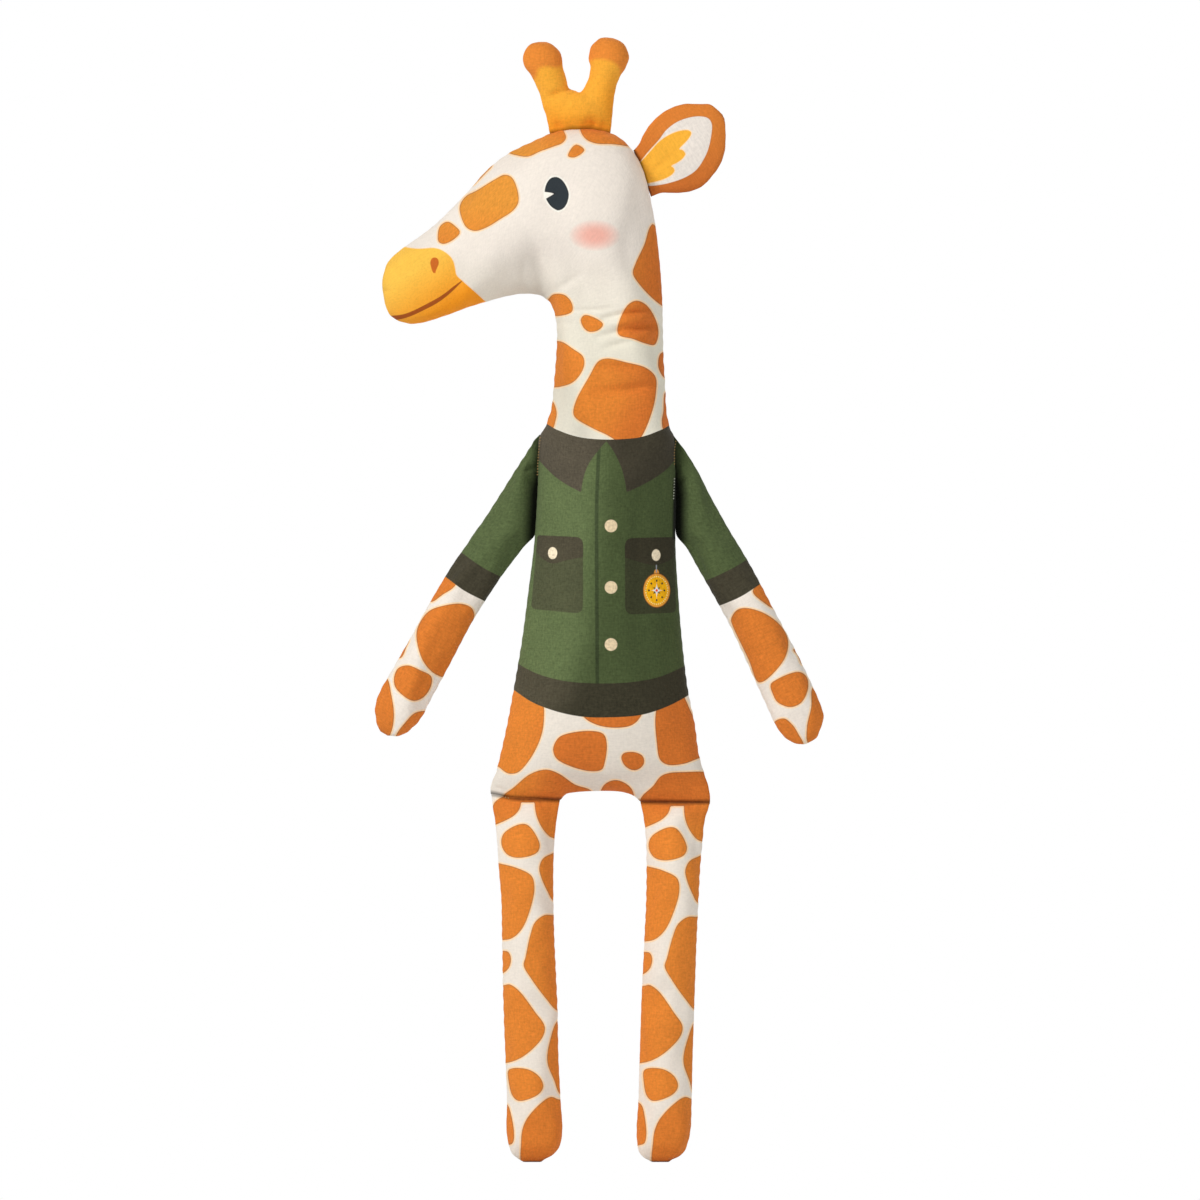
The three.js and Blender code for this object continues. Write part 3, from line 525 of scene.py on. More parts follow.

# Painted shade: across the body, the column where its colours turn darker on the side away from the key lamp, by
# rows, and over how many steps
PAINTED_SHADE_MIDDLE = [(250, 640), (330, 622), (400, 632), (440, 605), (500, 600), (640, 583), (700, 566), (725, 546),
              (800, 536)]
PAINTED_SHADE_WIDTH = 46
# How strong the painted shade is on the hands, the cuffs and each sleeve, from 0 to 1, and over which rows the
# painted shade on the legs grows, below the hips and towards the feet
HAND_PAINTED_SHADE = 0.55
CUFF_PAINTED_SHADE = 0.42
SLEEVE_RIGHT_PAINTED_SHADE = 0.42
SLEEVE_LEFT_PAINTED_SHADE = 0.68
HEAD_PAINTED_SHADE_ROWS = (150, 250)
HIP_PAINTED_SHADE_ROWS = (830, 800)
FOOT_PAINTED_SHADE_ROWS = (1090, 1150)
LEG_PAINTED_SHADE = (0.5, 0.45)

# The seam and how the cloth lies on the filling, in millimetres: the groove, the puckers that the seam gathers, how
# they wander along it, and how far from the seam lumps and creases begin
SEAM_GROOVE_WIDTH = 0.7
PUCKER_DEPTH = 0.1
PUCKER_REACH = 5.5
PUCKER_PITCH = 7.4
PUCKER_WANDER = 19
GATHER_WANDER = 31
LUMPS_BEGIN = 8
CREASES_BEGIN = 1.5
# From lump to lump of the filling, in metres
LUMP_PITCHES = (0.024, 0.031, 0.041, 0.055)

# The torso's lower edge, which rises at the right hip and in an arch between the legs, and over how many steps above
# it the rise fades out
ARCH = [(488, 793.4), (496, 795), (504, 797.2), (512, 798.9), (522, 800), (552, 800.4), (558, 800.4), (561.2, 799.4),
        (563.2, 796.6), (566, 794), (574, 792.4), (590, 791.2), (615.5, 791.2), (625, 792.6), (633, 795.4),
        (637.4, 798.6), (640.4, 801.6), (648, 803.4)]
ARCH_FADE = 30

# Into how many straight pieces a smooth line is divided from each point to the next
EDGE_SPANS, CREASE_SPANS, LOFT_SPANS, STITCH_SPANS, FOLD_SPANS = 8, 12, 12, 20, 24
# How the cloth is divided: steps from ring to ring of a loft, and points round it
BODY_GRID = (1.8, 240)
LIMB_GRID = (2.2, 112)
HORN_GRID = (1.6, 96)
EAR_GRID = (1.8, 144)
HORN_VOXEL = 0.0006
# The row of the collar's edge at the sides, and over how many steps the rings near it bend to follow the edge
COLLAR_ROW = 436.5
COLLAR_BEND = 30
# Over how many steps from its ends a loft takes on its relief
END_EASE = 6
# Settling: points round the coarse grid, metres from ring to ring, frames, how much too large the cloth is cut, the
# pressure of the filling, and the most that a point moves in metres
SETTLE_AROUND = 40
SETTLE_RING = 0.0055
SETTLE_FRAMES = 20
SETTLE_SURPLUS = 0.035
SETTLE_PRESSURE = 4
SETTLE_LIMIT = 0.0016
# What makes the lumps and puckers of each piece differ
SEEDS = {"body": 3, "ear": 5, "arm_right": 7, "arm_left": 8, "horns": 11, "leg_right": 21, "leg_left": 22}

# The layout for baking, in shares of its square: margin, height of a skin, and the size, start and pitch of the flat
# covers above it. The width of a cover's cloth is in metres
BAKE_MARGIN = 0.01
BAKE_SKIN = 0.9
BAKE_COVER = (0.9, 0.03)
BAKE_COVERS_FROM = 0.93
BAKE_COVER_PITCH = 0.035
COVER_WIDTH = 0.05

# Printed edges, from crisp to soft, in millimetres
CRISP, CLEAR, FIRM, BLURRED, SOFT = 0.3, 0.35, 0.4, 0.5, 0.6
# How uneven the cloth's colour is: on the ground, on that of torso and arms, and what patches, jacket and muzzle
# add
GRAIN, COARSE_GRAIN, PATCH_GRAIN, JACKET_GRAIN, MUZZLE_GRAIN = 0.05, 0.06, 0.09, 0.17, 0.04
# The yarn's unevenness: its scales on the cloth, and the width of a thread's spots as a share of their length
YARN_SCALE, MOTTLE_SCALE, BROAD_SCALE = 1100, 620, 60
YARN_SQUEEZE = 0.22
# The depth of the weave's bump, in metres
WEAVE_DEPTH = 0.00022
# A distance outside every print, in millimetres
FAR_OUTSIDE = 8.0
# A print that is only on the front ends within this many metres of the seam
FRONT_FADE = 0.0004
WHITE = (1, 1, 1, 1)

# Stitches: their lines and slant, how near the cloth under one is looked for, and how far one stands proud of it
STITCH_LINES = [
    [(540.2, 437.9), (538.8, 450.8), (537.9, 463.8), (537.5, 476.7)],
    [(675.8, 441.4), (674.5, 450), (674.4, 459.5), (674.4, 466.3)],
    [(674.4, 478.8), (674, 489), (673.4, 500.6)],
    [(505.6, 797.3), (508, 797.9), (511, 798.7)],
]
STITCH_SLANT = 0.45
STITCH_NEAR = 2.2
STITCH_PROUD = 0.0001
SEWN_SKINS = ("torso", "arm_right", "arm_left", "leg_right")
PALE_THREAD_COLUMNS = (620, 625)
PALE_THREAD_ROWS = (472, 474)

# The stage, in metres. Lamps: place, size and power
CAMERA_DISTANCE = 3.0
FLOOR_SIZE = 8.0
LAMPS = {
    "key lamp": ((-3.6, -3.3, 3.4), 1.8, 206),
    "fill lamp": ((3.2, -3.2, 1.0), 2.6, 47),
    "back lamp": ((0.8, 3.6, 2.6), 2.6, 60),
}
LAMPS_AIM = (0, 0, 0.35)
AMBIENT = 0.345
FLOOR_GREY = (0.86, 0.86, 0.86, 1)
FLOOR_GLOW = 0.45


def to_frame(columns, rows):
    """Metres across and up in the frame, of columns and rows of the front view."""
    return (columns - CENTRE_COLUMN) * STEP, (FLOOR_ROW - rows) * STEP


def to_steps(points):
    """The columns and rows of points of the frame, seen from the front."""
    return np.stack([points[..., 0] / STEP + CENTRE_COLUMN, FLOOR_ROW - points[..., 2] / STEP], -1)


def placed(rows, place, size, half_depth):
    """Rows that are given in shares of a size, about a place, in steps."""
    (column, row), (width, height) = place, size
    return [
        (column + a * width, row - b * height, column + c * width, row - d * height, depth * half_depth)
        for a, b, c, d, depth in rows
    ]


def smooth(points, spans=EDGE_SPANS, knots=None):
    """Points on a smooth curve through the given ones, with tangents that suit their uneven spacing."""
    points = np.asarray(points, float)
    knots = points if knots is None else knots
    gaps = np.sqrt(np.linalg.norm(np.diff(knots, axis=0), axis=1))[:, None]
    slopes = np.diff(points, axis=0) / gaps
    share = gaps[1:] / (gaps[:-1] + gaps[1:])
    tangents = np.vstack([slopes[:1], slopes[:-1] * share + slopes[1:] * (1 - share), slopes[-1:]])
    t = (np.arange(spans) / spans)[None, :, None]
    start, end = points[:-1, None], points[1:, None]
    leave, arrive = (tangents[:-1] * gaps)[:, None], (tangents[1:] * gaps)[:, None]
    curve = (
        (2 * t**3 - 3 * t**2 + 1) * start + (t**3 - 2 * t**2 + t) * leave
        + (3 * t**2 - 2 * t**3) * end + (t**3 - t**2) * arrive
    )
    return np.vstack([curve.reshape(-1, points.shape[1]), points[-1:]])


def outline(points, corners=()):
    """A closed outline through the points, smooth except at the corners, which are places in the list."""
    if not corners:
        looped = [*points[-2:], *points, *points[:2]]
        return smooth(looped)[2 * EDGE_SPANS:(len(points) + 2) * EDGE_SPANS]
    start = corners[0]
    looped = [*points[start:], *points[:start], points[start]]
    ends = [c - start for c in corners] + [len(points)]
    runs = [smooth(looped[a:b + 1])[:-1] for a, b in zip(ends, ends[1:])]
    return np.vstack(runs)


def region(edge, *others):
    """A closed outline of one smooth edge and the straight sides through other points."""
    return np.vstack([smooth(edge), np.array(others, float)])


def band(top, foot):
    """A closed outline between two smooth edges that run the same way."""
    return np.vstack([smooth(top), smooth(foot)[::-1]])


def rounded(corners):
    """A closed outline of straight sides between corners that are rounded by the third number of each."""
    corners = np.array(corners, float)
    share = np.linspace(0, 1, 7)[:, None]
    arcs = []
    for before, (*corner, radius), after in zip(np.roll(corners, 1, 0), corners, np.roll(corners, -1, 0)):
        start = corner + (before[:2] - corner) / np.linalg.norm(before[:2] - corner) * radius
        end = corner + (after[:2] - corner) / np.linalg.norm(after[:2] - corner) * radius
        arcs.append((1 - share) ** 2 * start + 2 * share * (1 - share) * np.array(corner) + share**2 * end)
    return np.vstack(arcs)


def signed_distance(shape, at):
    """How far points are outside a closed outline, and below zero inside it."""
    start, side = shape, np.roll(shape, -1, 0) - shape
    start, side = start[np.linalg.norm(side, axis=1) > 0], side[np.linalg.norm(side, axis=1) > 0]
    away = at[:, None] - start
    share = np.clip((away * side).sum(-1) / (side**2).sum(-1), 0, 1)
    gap = np.linalg.norm(away - share[..., None] * side, axis=-1).min(1)
    end = start + side
    spans = (start[:, 1] <= at[:, None, 1]) != (end[:, 1] <= at[:, None, 1])
    rise = np.where(side[:, 1] == 0, 1, side[:, 1])
    crossed = spans & (away[..., 0] < away[..., 1] * side[:, 0] / rise)
    return np.where(crossed.sum(1) % 2 == 1, -gap, gap)


def distance_mm(at, shapes):
    """Millimetres that points in steps are outside the nearest shape, exact up to a few millimetres away."""
    reach = 14
    found = np.full(len(at), float(reach))
    for shape in shapes:
        near = ((at > shape.min(0) - reach) & (at < shape.max(0) + reach)).all(1)
        for part in np.array_split(np.flatnonzero(near), max(1, int(near.sum()) // 4000)):
            if len(part):
                found[part] = np.minimum(found[part], signed_distance(shape, at[part]))
    return found * STEP_MM


def fold_distance(at, lines):
    """Millimetres from the nearest of some open lines, up to twice the reach of a fold's shade."""
    found = np.full(len(at), 2.0 * FOLD_REACH)
    reach = found[0] / STEP_MM
    for line in lines:
        dense = smooth(line, FOLD_SPANS)
        near = ((at > dense.min(0) - reach) & (at < dense.max(0) + reach)).all(1)
        gaps = np.linalg.norm(at[near][:, None] - dense, axis=-1).min(1) * STEP_MM
        found[near] = np.minimum(found[near], gaps)
    return found


def fold_field(at, lines, stretch, shift):
    """Millimetres from some folds, stretched and shifted to set how wide and how dark their shade is."""
    return np.maximum(0, fold_distance(at, lines) * stretch + shift)


def share_of(values, start, end, most=1):
    """From 0 where numbers are at a start to 1 at an end, and no more than the most."""
    return np.clip((values - start) / (end - start), 0, most)


def lee_side(at):
    """From 0 where the body's colours are left as lit to 1 on the side away from the key lamp, where shade is painted
    into them.
    """
    rows, columns = np.array(PAINTED_SHADE_MIDDLE, float).T
    share = np.clip((at[:, 0] - np.interp(at[:, 1], rows, columns)) / PAINTED_SHADE_WIDTH + 0.5, 0, 1)
    return share * share * (3 - 2 * share)


def line_nearness(at, line, half_width):
    """From 1 on a line of steps to 0 away from it, and fading towards its two ends."""
    dense = smooth(line, CREASE_SPANS)
    strength = np.sqrt(np.sin(np.pi * np.linspace(0.08, 0.92, len(dense))))
    reach = 4 * half_width / STEP_MM
    near = ((at > dense.min(0) - reach) & (at < dense.max(0) + reach)).all(1)
    found = np.zeros(len(at))
    gaps = np.linalg.norm(at[near][:, None] - dense, axis=-1) * STEP_MM
    nearest = gaps.argmin(1)
    found[near] = strength[nearest] * np.exp(-((gaps.min(1) / half_width) ** 2))
    return found


class Loft:
    """A stuffed form between the two sides of its seam. Ways run along it, and turns go round it from the second
    side, over the front, to the first."""

    def __init__(self, rows):
        rows = np.array([(*row, 0)[:6] for row in rows], float)
        table = smooth(rows, LOFT_SPANS, rows[:, :4])
        first, second = (np.linalg.norm(np.diff(table[:, i:i + 2], axis=0), axis=1) for i in (0, 2))
        self.ways = np.concatenate([[0], np.cumsum((first + second) / 2)])
        self.table = table
        self.table[:, 4] = np.maximum(self.table[:, 4], 0)

    @property
    def length(self):
        return self.ways[-1]

    def way_of_row(self, row):
        """The way at which the loft's first side passes a row of the view."""
        return float(np.interp(-row, -self.table[:, 1], self.ways))

    def points(self, ways, turns):
        """Places in the frame of ways and turns."""
        ax, ay, bx, by, depth, pinch = (np.interp(ways, self.ways, column) for column in self.table.T)
        reach = np.cos(turns)
        wedge = 1 + pinch * (np.sqrt(np.maximum(0, (1 + reach) / 2)) - 1)
        x, z = to_frame((ax + bx + (bx - ax) * reach) / 2, (ay + by + (by - ay) * reach) / 2)
        return np.stack([x, -depth * STEP * np.sin(turns) * wedge, z], -1)


def turns_of(around):
    """Turns of points that are evenly spaced round a ring."""
    return 2 * np.pi * np.arange(around) / around


def outward(grid):
    """Unit normals of a grid of points that closes round each ring."""
    along = np.gradient(grid, axis=0)
    across = np.roll(grid, -1, 1) - np.roll(grid, 1, 1)
    normal = np.cross(across, along)
    size = np.linalg.norm(normal, axis=-1, keepdims=True)
    normal = normal / np.maximum(size, 1e-12)
    middle = grid.mean(1, keepdims=True)
    facing = np.sign(((grid - middle) * normal).sum())
    return normal * (facing or 1)


def lumps(points, seed):
    """A gentle unevenness from -1 to 1, as filling gives to cloth."""
    dice = np.random.default_rng(seed)
    total = np.zeros(points.shape[:-1])
    for pitch in LUMP_PITCHES:
        heading = dice.normal(size=3)
        heading /= np.linalg.norm(heading)
        total += np.sin(2 * np.pi * (points @ heading) / pitch + dice.uniform(0, 6.3))
    return total / len(LUMP_PITCHES)


def relief(grid, creases, seed, lump):
    """Millimetres that each point stands out: the seam's groove and puckers, the filling's lumps and the creases."""
    around = grid.shape[1]
    steps = np.linalg.norm(np.diff(grid, axis=1, append=grid[:, :1]), axis=-1) / MM
    walked = np.concatenate([np.zeros((len(grid), 1)), np.cumsum(steps, 1)], 1)
    half = walked[:, around // 2][:, None]
    whole = walked[:, -1:]
    here = walked[:, :-1]
    from_seam = np.minimum(np.minimum(here, whole - here), np.abs(here - half))
    side = np.where(np.abs(here - half) < whole / 4, 0, around // 2)
    sizes = bpy.context.scene.giraffe_sizes
    total = -sizes.seam_groove / MM * np.exp(-((from_seam / SEAM_GROOVE_WIDTH) ** 2))
    for seam_column, flag in ((around // 2, 0), (0, around // 2)):
        edge = np.concatenate([[0], np.cumsum(np.linalg.norm(np.diff(grid[:, seam_column], axis=0), axis=1))]) / MM
        wave = np.cos(2 * np.pi * edge / PUCKER_PITCH + 1.7 * np.sin(edge / PUCKER_WANDER + seed) + seed)
        gather = (wave * np.exp(0.6 * np.sin(edge / GATHER_WANDER + 2 * seed)))[:, None]
        total += np.where(side == flag, PUCKER_DEPTH * gather * np.exp(-((from_seam / PUCKER_REACH) ** 2)), 0)
    total += lump * sizes.lump_height / MM * lumps(grid, seed) * (1 - np.exp(-((from_seam / LUMPS_BEGIN) ** 2)))
    at = to_steps(grid).reshape(-1, 2)
    for line, half_width, depth in creases:
        dip = depth * line_nearness(at, line, half_width).reshape(total.shape)
        total -= dip * (1 - np.exp(-((from_seam / CREASES_BEGIN) ** 2)))
    return total


def settle(loft):
    """How far cloth that is cut a little large moves off the filled form, on a coarse grid of the loft, in metres.
    The seams are held, and pressure stands for the filling."""
    around = SETTLE_AROUND
    rings = max(8, int(round(loft.length * STEP / SETTLE_RING)))
    grid = loft.points(np.linspace(0, loft.length, rings)[:, None], turns_of(around)[None])
    numbers = np.arange(rings * around).reshape(rings, around)
    ahead = np.roll(numbers, -1, 1)
    faces = np.stack([numbers[:-1], ahead[:-1], ahead[1:], numbers[1:]], -1).reshape(-1, 4)
    cloth = bpy.data.meshes.new("settling")
    cloth.from_pydata(grid.reshape(-1, 3).tolist(), [], faces.tolist())
    body = bpy.data.objects.new("settling", cloth)
    bpy.context.scene.collection.objects.link(body)
    held = body.vertex_groups.new(name="held")
    held.add([int(n) for n in {*numbers[0], *numbers[-1], *numbers[:, 0], *numbers[:, around // 2]}], 1, "REPLACE")
    sim = body.modifiers.new("settle", "CLOTH")
    sim.settings.quality = 6
    sim.settings.mass = 0.15
    sim.settings.tension_stiffness = sim.settings.compression_stiffness = 12
    sim.settings.shear_stiffness = 6
    sim.settings.bending_stiffness = 0.3
    sim.settings.shrink_min = -SETTLE_SURPLUS
    sim.settings.vertex_group_mass = "held"
    sim.settings.use_pressure = True
    sim.settings.uniform_pressure_force = SETTLE_PRESSURE
    sim.settings.effector_weights.gravity = 0
    sim.collision_settings.use_collision = False
    sim.collision_settings.use_self_collision = False
    scene = bpy.context.scene
    for moment in range(1, SETTLE_FRAMES + 1):
        scene.frame_set(moment)
    shown = body.evaluated_get(bpy.context.evaluated_depsgraph_get())
    moved = np.empty(rings * around * 3, np.float32)
    shown.data.vertices.foreach_get("co", moved)
    bpy.data.objects.remove(body)
    bpy.data.meshes.remove(cloth)
    scene.frame_set(1)
    shift = ((moved.reshape(rings, around, 3) - grid) * outward(grid)).sum(-1)
    broad = shift.copy()
    fine = shift.copy()
    for _ in range(10):
        broad = (broad + np.roll(broad, 1, 1) + np.roll(broad, -1, 1)) / 3
        broad[1:-1] = (broad[:-2] + broad[1:-1] + broad[2:]) / 3
    fine = (np.roll(fine, 1, 1) + 2 * fine + np.roll(fine, -1, 1)) / 4
    fine[1:-1] = (fine[:-2] + 2 * fine[1:-1] + fine[2:]) / 4
    return np.clip(fine - broad, -SETTLE_LIMIT, SETTLE_LIMIT)


def spread(coarse, rings_at, turns):
    """Values of a coarse grid that closes round, read smoothly at shares of its length and at turns."""
    def bspline(t):
        return np.stack([(1 - t)**3, 3 * t**3 - 6 * t**2 + 4, -3 * t**3 + 3 * t**2 + 3 * t + 1, t**3], -1) / 6
    rings, around = coarse.shape
    at = np.clip(rings_at, 0, 1) * (rings - 1)
    base = np.minimum(at.astype(int), rings - 2)
    turn = turns / (2 * np.pi) * around
    column = np.floor(turn).astype(int)
    down, across = bspline(at - base), bspline(turn - column)
    total = 0
    for i in range(4):
        ring = np.clip(base + i - 1, 0, rings - 1)
        for j in range(4):
            total = total + down[..., i] * across[..., j] * coarse[ring, (column + j - 1) % around]
    return total


def stuffed_grid(loft, step, around, creases, seed, lump=1.0, shape=None, cloth=True, swell=0.0):
    """The finished points of a loft, settled as cloth and with its relief, ring by ring."""
    rings = int(round(loft.length / step)) + 1
    ways = np.linspace(0, loft.length, rings)[:, None] + np.zeros((1, around))
    turns = turns_of(around)[None] + np.zeros((rings, 1))
    if shape:
        ways = shape(loft, ways, turns)
    grid = loft.points(ways, turns)
    normal = outward(grid)
    out = (relief(grid, creases, seed, lump) + swell) * MM
    if cloth:
        moved = spread(settle(loft), ways / loft.length, turns)
        free = np.minimum(1, 2.4 * np.abs(np.sin(turns)) ** 1.5)
        out = out + moved * free
    ease = np.minimum(1, np.minimum(ways, loft.length - ways) / END_EASE)
    return grid + normal * (out * ease)[..., None]


def sew(name, grid, first="zip", last="zip"):
    """A mesh object from rings of points. An end is zipped, its front sewn to its back, or it gets a flat cover."""
    rings, around = grid.shape[:2]
    half = around // 2
    numbers = np.arange(rings * around).reshape(rings, around)
    mirrored = np.array([min(j, around - j) for j in range(around)])
    for ring, kind in ((0, first), (rings - 1, last)):
        if kind == "zip":
            numbers[ring] = numbers[ring][mirrored]
    steps_along = np.linalg.norm(np.diff(grid, axis=0), axis=-1).mean(1)
    along = np.concatenate([[0], np.cumsum(steps_along)])
    girth = np.linalg.norm(np.diff(grid, axis=1, append=grid[:, :1]), axis=-1).sum(1).mean()
    j = np.arange(around)
    ahead = np.roll(numbers, -1, 1)
    faces = np.stack([numbers[:-1], ahead[:-1], ahead[1:], numbers[1:]], -1).reshape(-1, 4)
    low, high = j / around, (j + 1) / around
    ring_low, ring_high = along[:-1, None], along[1:, None]
    corners = [(low, ring_low), (high, ring_low), (high, ring_high), (low, ring_high)]
    flat = np.stack([np.stack(np.broadcast_arrays(u, v), -1) for u, v in corners], 2).reshape(-1, 4, 2)
    weave = flat * (girth, 1)
    bake = flat * (1 - 2 * BAKE_MARGIN, BAKE_SKIN / along[-1]) + BAKE_MARGIN
    covers = [ring for ring, kind in ((0, first), (rings - 1, last)) if kind == "cover"]
    for count, ring in enumerate(covers):
        ring_numbers = numbers[ring]
        a = np.arange(half)
        cover = np.stack([ring_numbers[a], ring_numbers[a + 1], ring_numbers[(around - a - 1) % around],
                          ring_numbers[(around - a) % around]], -1)
        faces = np.vstack([faces, cover if ring else cover[:, ::-1]])
        spot = np.stack([np.stack([a / half, 0 * a], -1), np.stack([(a + 1) / half, 0 * a], -1),
                         np.stack([(a + 1) / half, 0 * a + 1], -1), np.stack([a / half, 0 * a + 1], -1)], 1)
        weave = np.vstack([weave, spot * COVER_WIDTH])
        bake = np.vstack([bake, spot * BAKE_COVER + (2 * BAKE_MARGIN, BAKE_COVERS_FROM + BAKE_COVER_PITCH * count)])
    keep = np.array([[len(set(face)) >= 3] for face in faces]).ravel()
    faces, weave, bake = faces[keep], weave[keep], bake[keep]
    used, compact = np.unique(faces, return_inverse=True)
    points = grid.reshape(-1, 3)[used]
    compact = compact.reshape(-1, 4)
    loops, weave_uv, bake_uv = [], [], []
    for face, w, b in zip(compact.tolist(), weave, bake):
        seen = [k for k in range(4) if face[k] != face[k - 1]]
        loops.append([face[k] for k in seen])
        weave_uv.extend(w[seen])
        bake_uv.extend(b[seen])
    mesh = bpy.data.meshes.new(name)
    mesh.from_pydata(points.tolist(), [], loops)
    for title, uv in (("Cloth", weave_uv), ("OFBake", bake_uv)):
        mesh.uv_layers.new(name=title).data.foreach_set("uv", np.array(uv, np.float32).ravel())
    piece = bpy.data.objects.new(name, mesh)
    bpy.context.scene.collection.objects.link(piece)
    outward_faces(piece)
    if covers:
        mark_cover_edges(mesh)
    return piece


def select_only(*pieces):
    """Selects the given pieces and nothing else. The first of them becomes the active one."""
    bpy.ops.object.select_all(action="DESELECT")
    for piece in pieces:
        piece.select_set(True)
    if pieces:
        bpy.context.view_layer.objects.active = pieces[0]


def shade_smooth(piece):
    """Shades all faces of a piece smooth."""
    piece.data.polygons.foreach_set("use_smooth", np.ones(len(piece.data.polygons), bool))


def outward_faces(piece):
    """Turns a closed piece's faces outwards and shades it smooth."""
    select_only(piece)
    bpy.ops.object.mode_set(mode="EDIT")
    bpy.ops.mesh.select_all(action="SELECT")
    bpy.ops.mesh.normals_make_consistent(inside=False)
    bpy.ops.object.mode_set(mode="OBJECT")
    shade_smooth(piece)
    piece.data.update()


def mark_cover_edges(mesh):
    """Makes the edges round a flat cover sharp, so that the skin beside it shades as if it ran on."""
    sharp = mesh.attributes.get("sharp_edge") or mesh.attributes.new("sharp_edge", "BOOLEAN", "EDGE")
    faces_of = {}
    for face in mesh.polygons:
        for key in face.edge_keys:
            faces_of.setdefault(key, []).append(face.normal.copy())
    flags = [
        len(faces_of[edge.key]) == 2 and faces_of[edge.key][0].dot(faces_of[edge.key][1]) < 0.5
        for edge in mesh.edges
    ]
    sharp.data.foreach_set("value", np.array(flags, bool))


def points_of(piece):
    """Where the points of a piece's mesh are."""
    at = np.empty(len(piece.data.vertices) * 3)
    piece.data.vertices.foreach_get("co", at)
    return at.reshape(-1, 3)


def write_print(piece, **fields):
    """Stores print fields on the piece's points, as numbers that its cloth reads."""
    for name, values in fields.items():
        piece.data.attributes.new(name, "FLOAT", "POINT").data.foreach_set("value", values.astype(np.float32))


def linear(hex_colour):
    """A colour written as #RRGGBB, as linear red, green, blue and 1."""
    parts = [int(hex_colour[i:i + 2], 16) / 255 for i in (1, 3, 5)]
    return tuple(((c + 0.055) / 1.055) ** 2.4 if c > 0.04045 else c / 12.92 for c in parts) + (1.0,)


class Value:
    """A number that a node gives. Sums on values add the nodes that work them out."""

    def __init__(self, finish, socket):
        self.finish, self.socket = finish, socket

    def sum_with(self, operation, *others):
        """The number that a Math node works out from this one and others."""
        return self.finish.value("ShaderNodeMath", dict(operation=operation), dict(enumerate((self, *others))))

    def __add__(self, other):
        return self.sum_with("ADD", other)

    def __sub__(self, other):
        return self.sum_with("SUBTRACT", other)

    def __mul__(self, other):
        return self.sum_with("MULTIPLY", other)

    def __truediv__(self, other):
        return self.sum_with("DIVIDE", other)

    def __rsub__(self, other):
        return self.finish.value("ShaderNodeMath", dict(operation="SUBTRACT"), {0: other, 1: self})

    def __rtruediv__(self, other):
        return self.finish.value("ShaderNodeMath", dict(operation="DIVIDE"), {0: other, 1: self})

    __radd__, __rmul__ = __add__, __mul__

    def __abs__(self):
        return self.sum_with("ABSOLUTE")

    def power(self, other):
        return self.sum_with("POWER", other)

    def most(self, other):
        return self.sum_with("MAXIMUM", other)

    def clamped(self):
        return self.finish.value("ShaderNodeClamp", {}, {"Value": self, "Min": 0.0, "Max": 1.0}, "Result")


